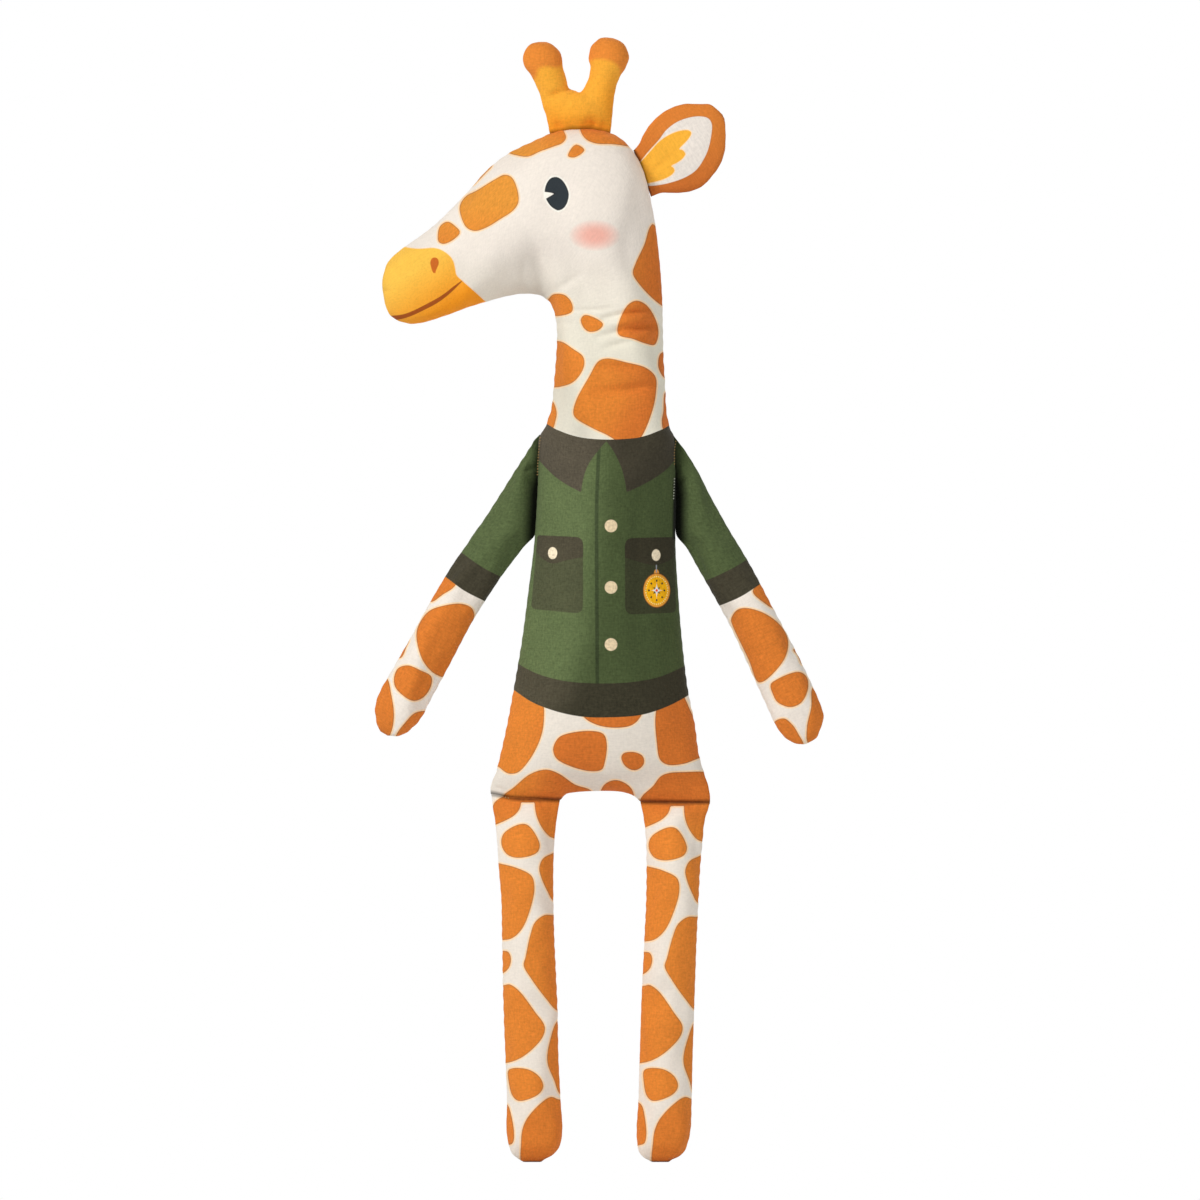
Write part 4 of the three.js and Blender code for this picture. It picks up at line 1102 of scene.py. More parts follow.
class Finish:
    """The nodes of one material, or of the world."""

    def __init__(self, name, world=None):
        self.material = world or bpy.data.materials.new(name)
        self.material.use_nodes = True
        self.tree = self.material.node_tree
        self.tree.nodes.clear()

    def node(self, kind, settings=None, inputs=None):
        """Adds a node, with its settings first and then the values or links of its sockets."""
        node = self.tree.nodes.new(kind)
        for name, setting in (settings or {}).items():
            setattr(node, name, setting)
        for name, given in (inputs or {}).items():
            given = given.socket if isinstance(given, Value) else given
            if isinstance(given, bpy.types.NodeSocket):
                self.tree.links.new(given, node.inputs[name])
            else:
                node.inputs[name].default_value = given
        return node

    def value(self, kind, settings=None, inputs=None, output=0):
        """The number that a new node gives."""
        return Value(self, self.node(kind, settings, inputs).outputs[output])

    def field(self, name):
        """A print field of the piece, in millimetres."""
        return self.value("ShaderNodeAttribute", dict(attribute_name=name), output="Fac")

    def place(self):
        """Columns and rows of the front view, and metres in front of the seam."""
        split = self.node("ShaderNodeSeparateXYZ", inputs={
            0: self.node("ShaderNodeTexCoord").outputs["Object"]})
        x, y, z = (Value(self, split.outputs[i]) for i in range(3))
        return x / STEP + CENTRE_COLUMN, FLOOR_ROW - z / STEP, 0 - y

    def mix(self, below, above, share):
        """One colour over another, as far as a share from 0 to 1 says."""
        return self.node("ShaderNodeMix", dict(data_type="RGBA"), {0: share, 6: below, 7: above}).outputs[2]

    def printed(self, below, tint, distance, edge=CRISP):
        """A tint inside a printed shape, and the colour below it elsewhere."""
        return self.mix(below, tint, edge_of(distance, edge))

    def in_lee(self, colour, shade):
        """A colour, multiplied by shade that is painted in on the piece's side away from the key lamp."""
        return self.product(colour, self.mix(WHITE, shade, self.field("lee")))

    def product(self, colour, other):
        """Two colours, multiplied."""
        return self.node("ShaderNodeVectorMath", dict(operation="MULTIPLY"), {0: colour, 1: other}).outputs[0]

    def scaled(self, colour, factor):
        """A colour, lighter or darker by a factor."""
        return self.node("ShaderNodeVectorMath", dict(operation="SCALE"), {0: colour, 3: factor}).outputs[0]

    def finish_cloth(self, colour, grain, folds=True):
        """Printed cotton: threads across and along the piece, uneven yarn in its colour and its bump, and shade
        painted into the folds at its seams.
        """
        uv = self.node("ShaderNodeUVMap", dict(uv_map="Cloth")).outputs[0]

        def yarn(scale, detail, squeeze):
            turned = self.node("ShaderNodeMapping", inputs={0: uv, "Scale": squeeze}).outputs[0]
            return self.value("ShaderNodeTexNoise", dict(noise_dimensions="2D"),
                              {"Vector": turned, "Scale": scale, "Detail": detail, "Roughness": 0.6}, "Fac")

        across = yarn(YARN_SCALE, 2.0, (YARN_SQUEEZE, 1, 1))
        along = yarn(YARN_SCALE, 2.0, (1, YARN_SQUEEZE, 1))
        mottle = yarn(MOTTLE_SCALE, 3.0, (1, 1, 1))
        broad = yarn(BROAD_SCALE, 2.0, (1, 1, 1))
        threads = (across + along - 1) * 0.9 + (mottle - 0.5) * 1.3 + (broad - 0.5) * 0.5
        # Painted shade in the folds at the seams, as near as the piece's fold field says.
        if folds:
            near = 1 - (self.field("fold") / FOLD_REACH).clamped()
            colour = self.scaled(colour, 1 - near * FOLD_SHADE)
        shaded = self.scaled(colour, threads * (2 * grain) + 1)
        split = self.node("ShaderNodeSeparateXYZ", inputs={0: uv})
        turn = 2 * math.pi / bpy.context.scene.giraffe_sizes.weave
        u, v = (Value(self, split.outputs[i]) * turn for i in range(2))
        warp = u.sum_with("SINE") * v.sum_with("SINE")
        height = warp * 0.5 + across + along + mottle * 1.4
        normal = self.node("ShaderNodeBump", inputs={
            "Strength": 0.5, "Distance": WEAVE_DEPTH, "Height": height}).outputs[0]
        surface = self.node("ShaderNodeBsdfPrincipled", inputs={
            "Base Color": shaded, "Roughness": 0.92, "IOR": 1.4, "Specular IOR Level": 0.15,
            "Sheen Weight": 0.04, "Sheen Roughness": 0.5, "Normal": normal})
        self.node("ShaderNodeOutputMaterial", inputs={0: surface.outputs[0]})
        return self.material


def edge_of(distance, soft=CRISP):
    """1 inside a printed shape and 0 outside it, from the distance to its edge in millimetres."""
    return (0.5 - distance / soft).clamped()


def ramp(value, start, end):
    """From 0 where a value is at a start to 1 at an end."""
    return ((value - start) / (end - start)).clamped()


def oval(column, row, centre, half_size):
    """How far out a place is from an oval's centre, as a share of the oval."""
    across, down = (column - centre[0]) / half_size[0], (row - centre[1]) / half_size[1]
    return (across * across + down * down).power(0.5)


def colours():
    """The colours as the user has set them."""
    return bpy.context.scene.giraffe_colours


def print_patches(finish, ground, patch):
    """Giraffe patches with the pale line that the print leaves round them, and with shade painted into them on the
    piece's shaded side.
    """
    tints = colours()
    distance = finish.field("patches")
    ground = finish.printed(ground, tints.patch_line, distance - 0.85, SOFT)
    rimmed = finish.printed(tints.patch_rim, patch, distance + 0.45, SOFT)
    return finish.printed(ground, finish.in_lee(rimmed, tints.patch_lee), distance, CLEAR)


def patch_grain(finish):
    """How much more uneven the colour is inside the patches."""
    return edge_of(finish.field("patches"), CLEAR) * PATCH_GRAIN


def head_cloth():
    """Cream with patches, blush, muzzle, mouth, nostril and eye."""
    tints = colours()
    finish = Finish("printed_head_cloth")
    column, row, _ = finish.place()
    colour = finish.mix(tints.cream, tints.neck_cream, ramp(row, *NECK_CREAM_ROWS))
    blush = ramp(oval(column, row, *BLUSH).power(2), 1.2, 0.1)
    colour = finish.mix(colour, tints.blush, blush * BLUSH_STRENGTH)
    patch = finish.mix(tints.patch_light, tints.patch, ramp(row, *BROW_ROWS).most(ramp(column, *BROW_COLUMNS)))
    colour = print_patches(finish, colour, patch)
    # Painted shade in the hollow between the cheek and the throat.
    past = column - (row - HOLLOW_EDGE[1]) * HOLLOW_SLANT - HOLLOW_EDGE[0]
    hollow = ramp(past, *HOLLOW_GROWS) * ramp(past, *HOLLOW_ENDS) * ramp(row, *HOLLOW_ROWS)
    colour = finish.scaled(colour, 1 - hollow * HOLLOW_SHADE)
    muzzle = finish.field("muzzle")
    shade = (column - MUZZLE_LIGHT[0]) * MUZZLE_DARKENS[0] + (row - MUZZLE_LIGHT[1]) * MUZZLE_DARKENS[1]
    colour = finish.mix(colour, tints.patch_line, edge_of(muzzle - 0.5, BLURRED) * 0.7)
    colour = finish.printed(colour, finish.mix(tints.amber, tints.amber_low, shade.clamped()), muzzle)
    colour = finish.printed(colour, tints.mouth, finish.field("mouth") - 0.2)
    colour = finish.printed(colour, tints.nostril, finish.field("nostril"), CLEAR)
    eye = finish.field("eye")
    pupil = eye.most(0 - finish.field("glint"))
    colour = finish.printed(colour, tints.eye_ring, eye - 0.9, 0.9)
    dark = finish.printed(tints.eye_rim, tints.eye, pupil + 0.6, BLURRED)
    colour = finish.printed(colour, dark, pupil, CLEAR)
    return finish.finish_cloth(colour, patch_grain(finish) + edge_of(muzzle) * MUZZLE_GRAIN + GRAIN, folds=False)


def button(finish, colour, place, centre, half_size, tint, rim):
    """A printed button: a pale disc with a soft darker edge, on the front only."""
    column, row, forward = place
    off = (oval(column, row, centre, half_size) - 1) * (min(half_size) * STEP_MM)
    ahead = (forward / FRONT_FADE).clamped()
    colour = finish.mix(colour, rim, edge_of(off - 0.25, FIRM) * ahead)
    return finish.mix(colour, tint, edge_of(off, CLEAR) * ahead)


def compass(finish, colour, place):
    """The compass that is printed as if it hung from the left pocket: rim, dial, ticks and a four-pointed needle."""
    tints = colours()
    column, row, forward = place
    across, down = column - COMPASS[0], row - COMPASS[1]
    ahead = (forward / FRONT_FADE).clamped()

    def add(colour, tint, distance_steps, soft=0.6):
        return finish.mix(colour, tint, (0.5 - distance_steps / soft).clamped() * ahead)

    def ring_of(count, half, middle, half_width, stretch):
        """How far outside the nearest of some marks round the dial a place is."""
        mark = abs(angle * count - (angle * count).sum_with("ROUND"))
        return ((mark - half) * stretch).most((abs(dial - middle) - half_width) * 12)

    def star(x, y, reach, hollow):
        return ((abs(x) / reach[0]).power(hollow) + (abs(y) / reach[1]).power(hollow) - 1) * 3

    colour = add(colour, tints.compass_rim, (oval(across, down, *TAB_OVAL) - 1) * 2.5)
    out = oval(across, down, *RIM_OVAL)
    colour = add(colour, tints.compass_edge, (out - 1) * 14, 0.9)
    colour = add(colour, tints.compass_rim, (out - 0.965) * 14, 0.7)
    (chain_across, chain_down), (half_width, half_height) = CHAIN_BOX
    chain = (abs(across - chain_across) - half_width).most(abs(down - chain_down) - half_height)
    colour = add(colour, tints.chain, chain, 0.4)
    dial = oval(across, down, *DIAL_OVAL)
    dial_width, dial_height = DIAL_OVAL[1]
    colour = add(colour, tints.dial, (dial - 1) * dial_width, 0.5)
    angle = (down / dial_height).sum_with("ARCTAN2", across / dial_width) / (2 * math.pi)
    colour = add(colour, tints.tick, ring_of(*TICKS, stretch=2), 0.16)
    colour = add(colour, tints.mark, ring_of(*MARKS, stretch=6), 0.4)
    colour = add(colour, tints.mark, star(across * 0.7 + down * 0.7, across * 0.7 - down * 0.7, *SLANTED_STAR))
    colour = add(colour, tints.needle, star(across, down, *NEEDLE_STAR))
    hub = (across * across + down * down * 0.6).power(0.5) - 1.1
    return add(colour, tints.hub, hub)


def torso_cloth():
    """The hips' patched cloth with the jacket over it: collar, closure, pockets, hem, buttons and compass."""
    tints = colours()
    finish = Finish("printed_jacket_cloth")
    place = finish.place()
    colour = print_patches(finish, tints.hip_cream, tints.patch)
    inside = finish.printed(tints.jacket, tints.placket, abs(finish.field("placket")) - PLACKET_WIDTH / 2, BLURRED)
    pocket = edge_of(finish.field("pocket"), FIRM)
    inside = finish.mix(inside, tints.pocket, pocket)
    inside = finish.mix(inside, tints.flap, pocket * edge_of(finish.field("flap"), FIRM))
    inside = finish.printed(inside, tints.trim, finish.field("hem"), FIRM)
    inside = finish.printed(inside, tints.collar, finish.field("collar"), FIRM)
    # Painted shade: the jacket darkens on the body's side away from the key lamp.
    inside = finish.in_lee(inside, tints.jacket_lee)
    radius = bpy.context.scene.giraffe_sizes.button_radius / STEP
    for centre in FRONT_BUTTONS:
        inside = button(finish, inside, place, centre, (radius, radius), tints.button, tints.placket)
    for centre, half_size in POCKET_BUTTONS:
        inside = button(finish, inside, place, centre, half_size, tints.pocket_button, tints.trim)
    inside = compass(finish, inside, place)
    jacket = edge_of(finish.field("jacket"), CLEAR)
    return finish.finish_cloth(
        finish.mix(colour, inside, jacket), jacket * JACKET_GRAIN + patch_grain(finish) + COARSE_GRAIN)


def arm_cloth():
    """Patched cloth with the jacket's sleeve and its cuff."""
    tints = colours()
    finish = Finish("printed_sleeve_cloth")
    colour = print_patches(finish, tints.cream, tints.patch)
    # Painted shade: the sleeve and its cuff darken on the arm's shaded side.
    sleeve = finish.in_lee(
        finish.printed(tints.jacket, tints.cuff, finish.field("cuff"), FIRM), tints.jacket_lee)
    jacket = edge_of(finish.field("sleeve"), CLEAR)
    return finish.finish_cloth(
        finish.mix(colour, sleeve, jacket), jacket * JACKET_GRAIN + patch_grain(finish) + COARSE_GRAIN)


def leg_cloth():
    """Cream with patches."""
    tints = colours()
    finish = Finish("printed_leg_cloth")
    colour = print_patches(finish, tints.leg_cream, tints.patch)
    return finish.finish_cloth(colour, patch_grain(finish) + GRAIN)


def horn_cloth():
    """Amber that darkens towards the foot and beside it, with knobs in the patches' colour."""
    tints = colours()
    finish = Finish("printed_horn_cloth")
    column, row, _ = finish.place()
    beside = ramp(column, *HORN_LOW_COLUMNS) * ramp(row, *HORN_LOW_BESIDE_ROWS)
    amber = finish.mix(tints.horn, tints.horn_low, ramp(row, *HORN_LOW_ROWS).most(beside) * 0.65)
    return finish.finish_cloth(finish.printed(amber, tints.knob, finish.field("knobs"), 2.6), grain=0.11)


def ear_cloth():
    """The patches' colour as a border round cream, with an amber tuft."""
    tints = colours()
    finish = Finish("printed_ear_cloth")
    _, row, _ = finish.place()
    inner, tuft = finish.field("inner"), finish.field("tuft")
    border = finish.mix(tints.ear_border, tints.ear_low, ramp(row, *EAR_LOW_ROWS))
    colour = finish.mix(border, tints.patch_rim, edge_of(abs(inner - 0.3) - 0.25, BLURRED) * 0.5)
    colour = finish.printed(colour, tints.ear_cream, inner, CLEAR)
    colour = finish.mix(colour, tints.patch_line, edge_of(tuft - 0.5, BLURRED) * edge_of(inner, CLEAR))
    colour = finish.printed(colour, tints.ear_amber, tuft, CLEAR)
    return finish.finish_cloth(colour, grain=0.09)


def thread_finish():
    """Twisted thread, golden or pale."""
    tints = colours()
    finish = Finish("shoulder_thread")
    surface = finish.node("ShaderNodeTexCoord").outputs["Object"]
    twist = finish.value("ShaderNodeTexNoise", {}, {"Vector": surface, "Scale": 2600.0, "Detail": 1.0}, "Fac")
    column, row, _ = finish.place()
    pale = ramp(column, *PALE_THREAD_COLUMNS) * ramp(row, *PALE_THREAD_ROWS)
    colour = finish.scaled(finish.mix(tints.thread, tints.pale_thread, pale), twist * 0.7 + 0.65)
    normal = finish.node("ShaderNodeBump", inputs={"Strength": 0.6, "Distance": 0.0001, "Height": twist}).outputs[0]
    shader = finish.node("ShaderNodeBsdfPrincipled", inputs={
        "Base Color": colour, "Roughness": 0.6, "Sheen Weight": 0.2, "Normal": normal})
    finish.node("ShaderNodeOutputMaterial", inputs={0: shader.outputs[0]})
    return finish.material


def dress(piece, material, body, nodes):
    """Gives a piece its cloth, and says what it rides on and which solids it stands for."""
    piece.data.materials.append(material)
    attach(piece, body)
    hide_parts(*nodes)


def body_ways(loft, ways, turns):
    """Bends the rings of the body so that one of them lies on the collar's edge."""
    edge = smooth(COLLAR_EDGE)
    ring = collar_ring(loft, len(ways))
    fade = np.exp(-(((ways - ways[ring]) / COLLAR_BEND) ** 2))
    for _ in range(4):
        at = to_steps(loft.points(ways[ring], turns[ring]))
        ways = ways + (at[:, 1] - np.interp(at[:, 0], edge[:, 0], edge[:, 1])) * fade
    return ways


def collar_ring(loft, rings):
    """The number of the ring that lies nearest the collar's edge."""
    return int(np.abs(np.linspace(0, loft.length, rings) - loft.way_of_row(COLLAR_ROW)).argmin())


def arched(points):
    """Lifts the cloth between the legs into its arch."""
    at = to_steps(points)
    column_a, row_a, column_b, row_b = TORSO_ROWS[0][:4]
    level = np.interp(at[..., 0], (column_a, column_b), (row_a, row_b))
    edge = smooth(ARCH)
    wanted = np.interp(at[..., 0], edge[:, 0], edge[:, 1], left=FLOOR_ROW, right=FLOOR_ROW)
    rise = np.maximum(0, level - wanted)
    low = np.clip(1 - (level - at[..., 1]) / ARCH_FADE, 0, 1) ** 1.5
    points[..., 2] += rise * low * STEP
    return points


def body_points():
    """The skin of the torso, neck and head, and the ring on the collar's edge. It is made once for both pieces."""
    loft = Loft(TORSO_ROWS + NECK_ROWS + HEAD_ROWS)
    grid = arched(stuffed_grid(loft, *BODY_GRID, BODY_CREASES, SEEDS["body"], shape=body_ways))
    return grid, collar_ring(loft, len(grid))


class Body:
    """Keeps the body's points for the second of its two pieces."""
    made = None

    @classmethod
    def points(cls):
        if cls.made is None:
            cls.made = body_points()
        return cls.made


def add_torso():
    """The torso up to the collar's edge, closed by a flat cover under the neck."""
    grid, collar = Body.points()
    piece = sew("torso_skin", grid[:collar + 1], last="cover")
    at3 = points_of(piece)
    at, back = to_steps(at3), at3[:, 1] > 1e-6
    edge = smooth(PLACKET)
    nothing = np.full(len(at), FAR_OUTSIDE)

    def front_only(shapes):
        return np.where(back, nothing, distance_mm(at, shapes))

    collar_front = [outline(COLLAR_RIGHT, COLLAR_RIGHT_CORNERS), outline(COLLAR_LEFT, COLLAR_LEFT_CORNERS)]
    collar_back = [outline(COLLAR_BACK, COLLAR_BACK_CORNERS)]
    flaps = [region(FLAP_RIGHT_EDGE, *FLAP_RIGHT_ABOVE), region(FLAP_LEFT_EDGE, *FLAP_LEFT_ABOVE)]
    write_print(
        piece,
        patches=distance_mm(at, [outline(p) for p in HIP_PATCHES]),
        jacket=distance_mm(at, [region(HEM_FOOT, *JACKET_ABOVE)]),
        hem=distance_mm(at, [band(HEM_TOP, HEM_FOOT)]),
        collar=np.where(back, distance_mm(at, collar_back), distance_mm(at, collar_front)),
        pocket=front_only([rounded(POCKET_RIGHT), rounded(POCKET_LEFT)]),
        flap=front_only(flaps),
        placket=np.where(back, nothing, (at[:, 0] - np.interp(at[:, 1], edge[:, 1], edge[:, 0])) * STEP_MM),
        fold=np.minimum(fold_field(at, TORSO_FOLDS, *TORSO_FOLD_SHADE), fold_field(at, HIP_FOLDS, *HIP_FOLD_SHADE)),
        # painted shade on the body's side away from the key lamp
        lee=lee_side(at),
    )
    dress(piece, torso_cloth(), "body", ["torso"])


def add_head_and_neck():
    """The neck and the head, from the collar's edge on."""
    grid, collar = Body.points()
    piece = sew("head_and_neck_skin", grid[collar:], first="cover")
    at = to_steps(points_of(piece))
    write_print(
        piece,
        patches=distance_mm(at, [outline(p) for p in HEAD_PATCHES]),
        muzzle=distance_mm(at, [outline(MUZZLE, MUZZLE_CORNERS)]),
        mouth=distance_mm(at, [outline(MOUTH, MOUTH_CORNERS)]),
        nostril=distance_mm(at, [outline(NOSTRIL, NOSTRIL_CORNERS)]),
        eye=distance_mm(at, [outline(EYE)]),
        glint=distance_mm(at, [np.array(EYE_GLINT, float)]),
        # painted shade on the head's side away from the key lamp, below the forehead
        lee=lee_side(at) * share_of(at[:, 1], *HEAD_PAINTED_SHADE_ROWS),
    )
    dress(piece, head_cloth(), "body", ["neck", "head"])


def add_horns():
    """Two horns and their shared foot, joined to one skin."""
    parts = []
    for number, rows in enumerate((FRONT_HORN_ROWS, BACK_HORN_ROWS, HORNS_FOOT_ROWS)):
        loft = Loft(placed(rows, HORNS_PLACE, HORNS_SIZE, HORNS_HALF_DEPTH))
        grid = stuffed_grid(
            loft, *HORN_GRID, HORN_CREASES, SEEDS["horns"] + number, lump=0.55, cloth=False, swell=0.55)
        parts.append(sew(f"horn_{number}", grid))
    select_only(*parts)
    bpy.ops.object.join()
    piece = parts[0]
    piece.name = piece.data.name = "horns_skin"
    remesh = piece.modifiers.new("one skin", "REMESH")
    remesh.mode, remesh.voxel_size = "VOXEL", HORN_VOXEL
    bpy.ops.object.modifier_apply(modifier=remesh.name)
    even = piece.modifiers.new("even", "SMOOTH")
    even.factor, even.iterations = 0.5, 8
    bpy.ops.object.modifier_apply(modifier=even.name)
    shade_smooth(piece)
    flat_uv(piece)
    at = to_steps(points_of(piece))
    write_print(
        piece,
        knobs=distance_mm(at, [outline(k) for k in HORN_KNOBS]),
        fold=fold_field(at, [HORN_FOLD], *HORN_FOLD_SHADE),
    )
    dress(piece, horn_cloth(), "horns", ["horns"])


def flat_uv(piece):
    """Lays a piece's cloth out from the front and from the back, for its weave and for baking."""
    mesh = piece.data
    at = points_of(piece)
    corners = np.empty(len(mesh.loops), int)
    mesh.loops.foreach_get("vertex_index", corners)
    normals = np.empty(len(mesh.polygons) * 3)
    mesh.polygons.foreach_get("normal", normals)
    sizes = np.empty(len(mesh.polygons), int)
    mesh.polygons.foreach_get("loop_total", sizes)
    back = np.repeat(normals.reshape(-1, 3)[:, 1] > 0, sizes)
    flat = at[corners][:, [0, 2]]
    low, high = flat.min(0), flat.max(0)
    mesh.uv_layers.new(name="Cloth").data.foreach_set("uv", flat.astype(np.float32).ravel())
    share = (flat - low) / (high - low).max()
    share = share * (0.5 - 2 * BAKE_MARGIN) + BAKE_MARGIN + np.stack([back * 0.5, 0 * back], -1)
    mesh.uv_layers.new(name="OFBake").data.foreach_set("uv", share.astype(np.float32).ravel())


def add_ear():
    """The flat ear."""
    loft = Loft(placed(EAR_ROWS, EAR_PLACE, (EAR_LENGTH, EAR_LENGTH), EAR_HALF_DEPTH))
    piece = sew("ear_skin", stuffed_grid(loft, *EAR_GRID, EAR_CREASES, SEEDS["ear"], lump=0.55))
    at = to_steps(points_of(piece))
    write_print(
        piece,
        inner=distance_mm(at, [outline(EAR_INNER, EAR_INNER_CORNERS)]),
        tuft=distance_mm(at, [outline(EAR_TUFT, EAR_TUFT_CORNERS)]),
        fold=fold_field(at, [EAR_FOLD], *EAR_FOLD_SHADE),
    )
    dress(piece, ear_cloth(), "ear", ["ear"])


def add_arm(name, rows, patches, cuff_top, cuff_foot, above, creases, lee, material):
    """An arm in its sleeve, with shade painted into its colours as strongly as the given share says."""
    piece = sew(f"{name}_skin", stuffed_grid(Loft(rows), *LIMB_GRID, creases, SEEDS[name]))
    at = to_steps(points_of(piece))
    sleeve = distance_mm(at, [region(cuff_foot, *above)])
    cuff = distance_mm(at, [band(cuff_top, cuff_foot)])
    stretch, shift = SLEEVE_FOLD_SHADE
    wider = SLEEVE_FOLD_WIDER * share_of(at[:, 1], *SLEEVE_FOLD_ROWS)
    write_print(
        piece,
        patches=distance_mm(at, [outline(p) for p in patches]),
        cuff=cuff,
        sleeve=sleeve,
        fold=fold_field(at, SLEEVE_FOLDS, stretch, shift - wider),
        # painted shade: as set on the cuff and hand, and as given on the sleeve
        lee=np.where(sleeve < 0, np.where(cuff < 0, CUFF_PAINTED_SHADE, lee), HAND_PAINTED_SHADE),
    )
    dress(piece, material, name, [name])


def add_arms():
    """Both arms, in one cloth."""
    material = arm_cloth()
    add_arm("arm_right", ARM_RIGHT_ROWS, ARM_RIGHT_PATCHES, ARM_RIGHT_CUFF_TOP, ARM_RIGHT_CUFF_FOOT,
            ARM_RIGHT_ABOVE, ARM_RIGHT_CREASES, SLEEVE_RIGHT_PAINTED_SHADE, material)
    add_arm("arm_left", ARM_LEFT_ROWS, ARM_LEFT_PATCHES, ARM_LEFT_CUFF_TOP, ARM_LEFT_CUFF_FOOT,
            ARM_LEFT_ABOVE, ARM_LEFT_CREASES, SLEEVE_LEFT_PAINTED_SHADE, material)


def on_left_leg(points):
    """The right leg's print, as it lies on the left leg, which leans a little more."""
    return [
        (x + LEFT_LEG_SHIFT - (y - HIP_ROW) * LEFT_LEG_LEAN,
         y + LEFT_LEG_DROP * max(0, 1 - max(0, y - HIP_ROW) / LEFT_LEG_DROP_ROWS))
        for x, y in points
    ]


def add_legs():
    """Both legs, in one cloth, with soles that end at the floor."""
    material = leg_cloth()
    left_creases = [(on_left_leg(line), half_width, depth) for line, half_width, depth in LEG_CREASES]
    left_patches = [on_left_leg(patch) for patch in LEG_PATCHES] + [LEFT_LEG_TOP_PATCH]
    for name, rows, patches, creases in (
        ("leg_right", LEG_RIGHT_ROWS, LEG_PATCHES, LEG_CREASES),
        ("leg_left", LEG_LEFT_ROWS, left_patches, left_creases),
    ):
        grid = stuffed_grid(Loft(rows), *LIMB_GRID, creases, SEEDS[name])
        grid[..., 2] = np.maximum(grid[..., 2], 0)
        piece = sew(f"{name}_skin", grid)
        at = to_steps(points_of(piece))
        # Painted shade below the hips and towards the feet.
        hip_lee, foot_lee = LEG_PAINTED_SHADE
        write_print(
            piece,
            patches=distance_mm(at, [outline(p) for p in patches]),
            fold=fold_field(at, HIP_FOLDS, *HIP_FOLD_SHADE),
            lee=share_of(at[:, 1], *HIP_PAINTED_SHADE_ROWS, hip_lee) + share_of(at[:, 1], *FOOT_PAINTED_SHADE_ROWS, foot_lee),
        )
        dress(piece, material, name, [name])


def front_of(skins, column, row):
    """How far back the foremost of some points lies beside a place of the front view."""
    steps = to_steps(skins)
    near = np.hypot(steps[:, 0] - column, steps[:, 1] - row) < STITCH_NEAR
    return skins[near, 1].min()


def add_stitches():
    """The thread that shows where the sleeves and a leg are sewn on."""
    sizes = bpy.context.scene.giraffe_sizes
    select_only()
    bpy.ops.mesh.primitive_uv_sphere_add(
        segments=10, ring_count=8, radius=sizes.stitch_length / 2, location=(0, 0, 0))
    stitch = bpy.context.active_object
    slim = sizes.stitch_width / sizes.stitch_length
    bpy.ops.object.mode_set(mode="EDIT")
    bpy.ops.mesh.select_all(action="SELECT")
    bpy.ops.transform.resize(value=(slim, slim, 1))
    bpy.ops.object.mode_set(mode="OBJECT")
    shade_smooth(stitch)
    skins = np.vstack([points_of(bpy.data.objects[f"{name}_skin"]) for name in SEWN_SKINS])
    copies = []
    for line in STITCH_LINES:
        dense = smooth(line, STITCH_SPANS)
        walked = np.concatenate([[0], np.cumsum(np.linalg.norm(np.diff(dense, axis=0), axis=1))])
        for place in np.arange(0, walked[-1], sizes.stitch_pitch / STEP):
            (column, row), (next_column, next_row) = (
                [np.interp(at, walked, dense[:, i]) for i in range(2)] for at in (place, place + 1))
            x, z = to_frame(column, row)
            copy = stitch.copy()
            copy.data = stitch.data.copy()
            copy.rotation_euler = (0, math.atan2(next_column - column, row - next_row) + STITCH_SLANT, 0)
            copy.location = (x, front_of(skins, column, row) - STITCH_PROUD, z)
            bpy.context.scene.collection.objects.link(copy)
            copies.append(copy)
    bpy.data.objects.remove(stitch)
    select_only(*copies)
    bpy.ops.object.join()
    bpy.ops.object.transform_apply(location=True, rotation=True, scale=True)
    piece = bpy.context.active_object
    piece.name = piece.data.name = "shoulder_stitches"
    piece.data.materials.append(thread_finish())
    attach(piece, "body")


def add_stage():
    """Camera, lamps, white surroundings and the floor."""
    scene = bpy.context.scene
    lens = bpy.data.cameras.new("front camera")
    lens.type, lens.ortho_scale = "ORTHO", VIEW_STEPS * STEP
    camera = bpy.data.objects.new("front camera", lens)
    scene.collection.objects.link(camera)
    camera.location = (0, -CAMERA_DISTANCE, (FLOOR_ROW - VIEW_STEPS / 2) * STEP)
    camera.rotation_euler = (math.pi / 2, 0, 0)
    scene.camera = camera
    scene.view_settings.view_transform = "Standard"
    for name, (place, size, power) in LAMPS.items():
        lamp = bpy.data.lights.new(name, "AREA")
        lamp.shape, lamp.size, lamp.energy = "DISK", size, power
        holder = bpy.data.objects.new(name, lamp)
        scene.collection.objects.link(holder)
        holder.location = place
        aim = Vector(LAMPS_AIM) - Vector(place)
        holder.rotation_euler = aim.to_track_quat("-Z", "Y").to_euler()
        holder.visible_camera = False
    add_surroundings(scene)
    select_only()
    bpy.ops.mesh.primitive_plane_add(size=FLOOR_SIZE, location=(0, 0, 0))
    floor = bpy.context.active_object
    floor.name = "floor"
    floor.data.materials.append(floor_finish())


def seen_directly(finish):
    """1 for rays that show the surroundings themselves or their reflection, and 0 for those that light the object."""
    path = finish.node("ShaderNodeLightPath")
    seen = Value(finish, path.outputs["Is Camera Ray"])
    for kind in ("Is Glossy Ray", "Is Transmission Ray"):
        seen = seen.most(Value(finish, path.outputs[kind]))
    return seen


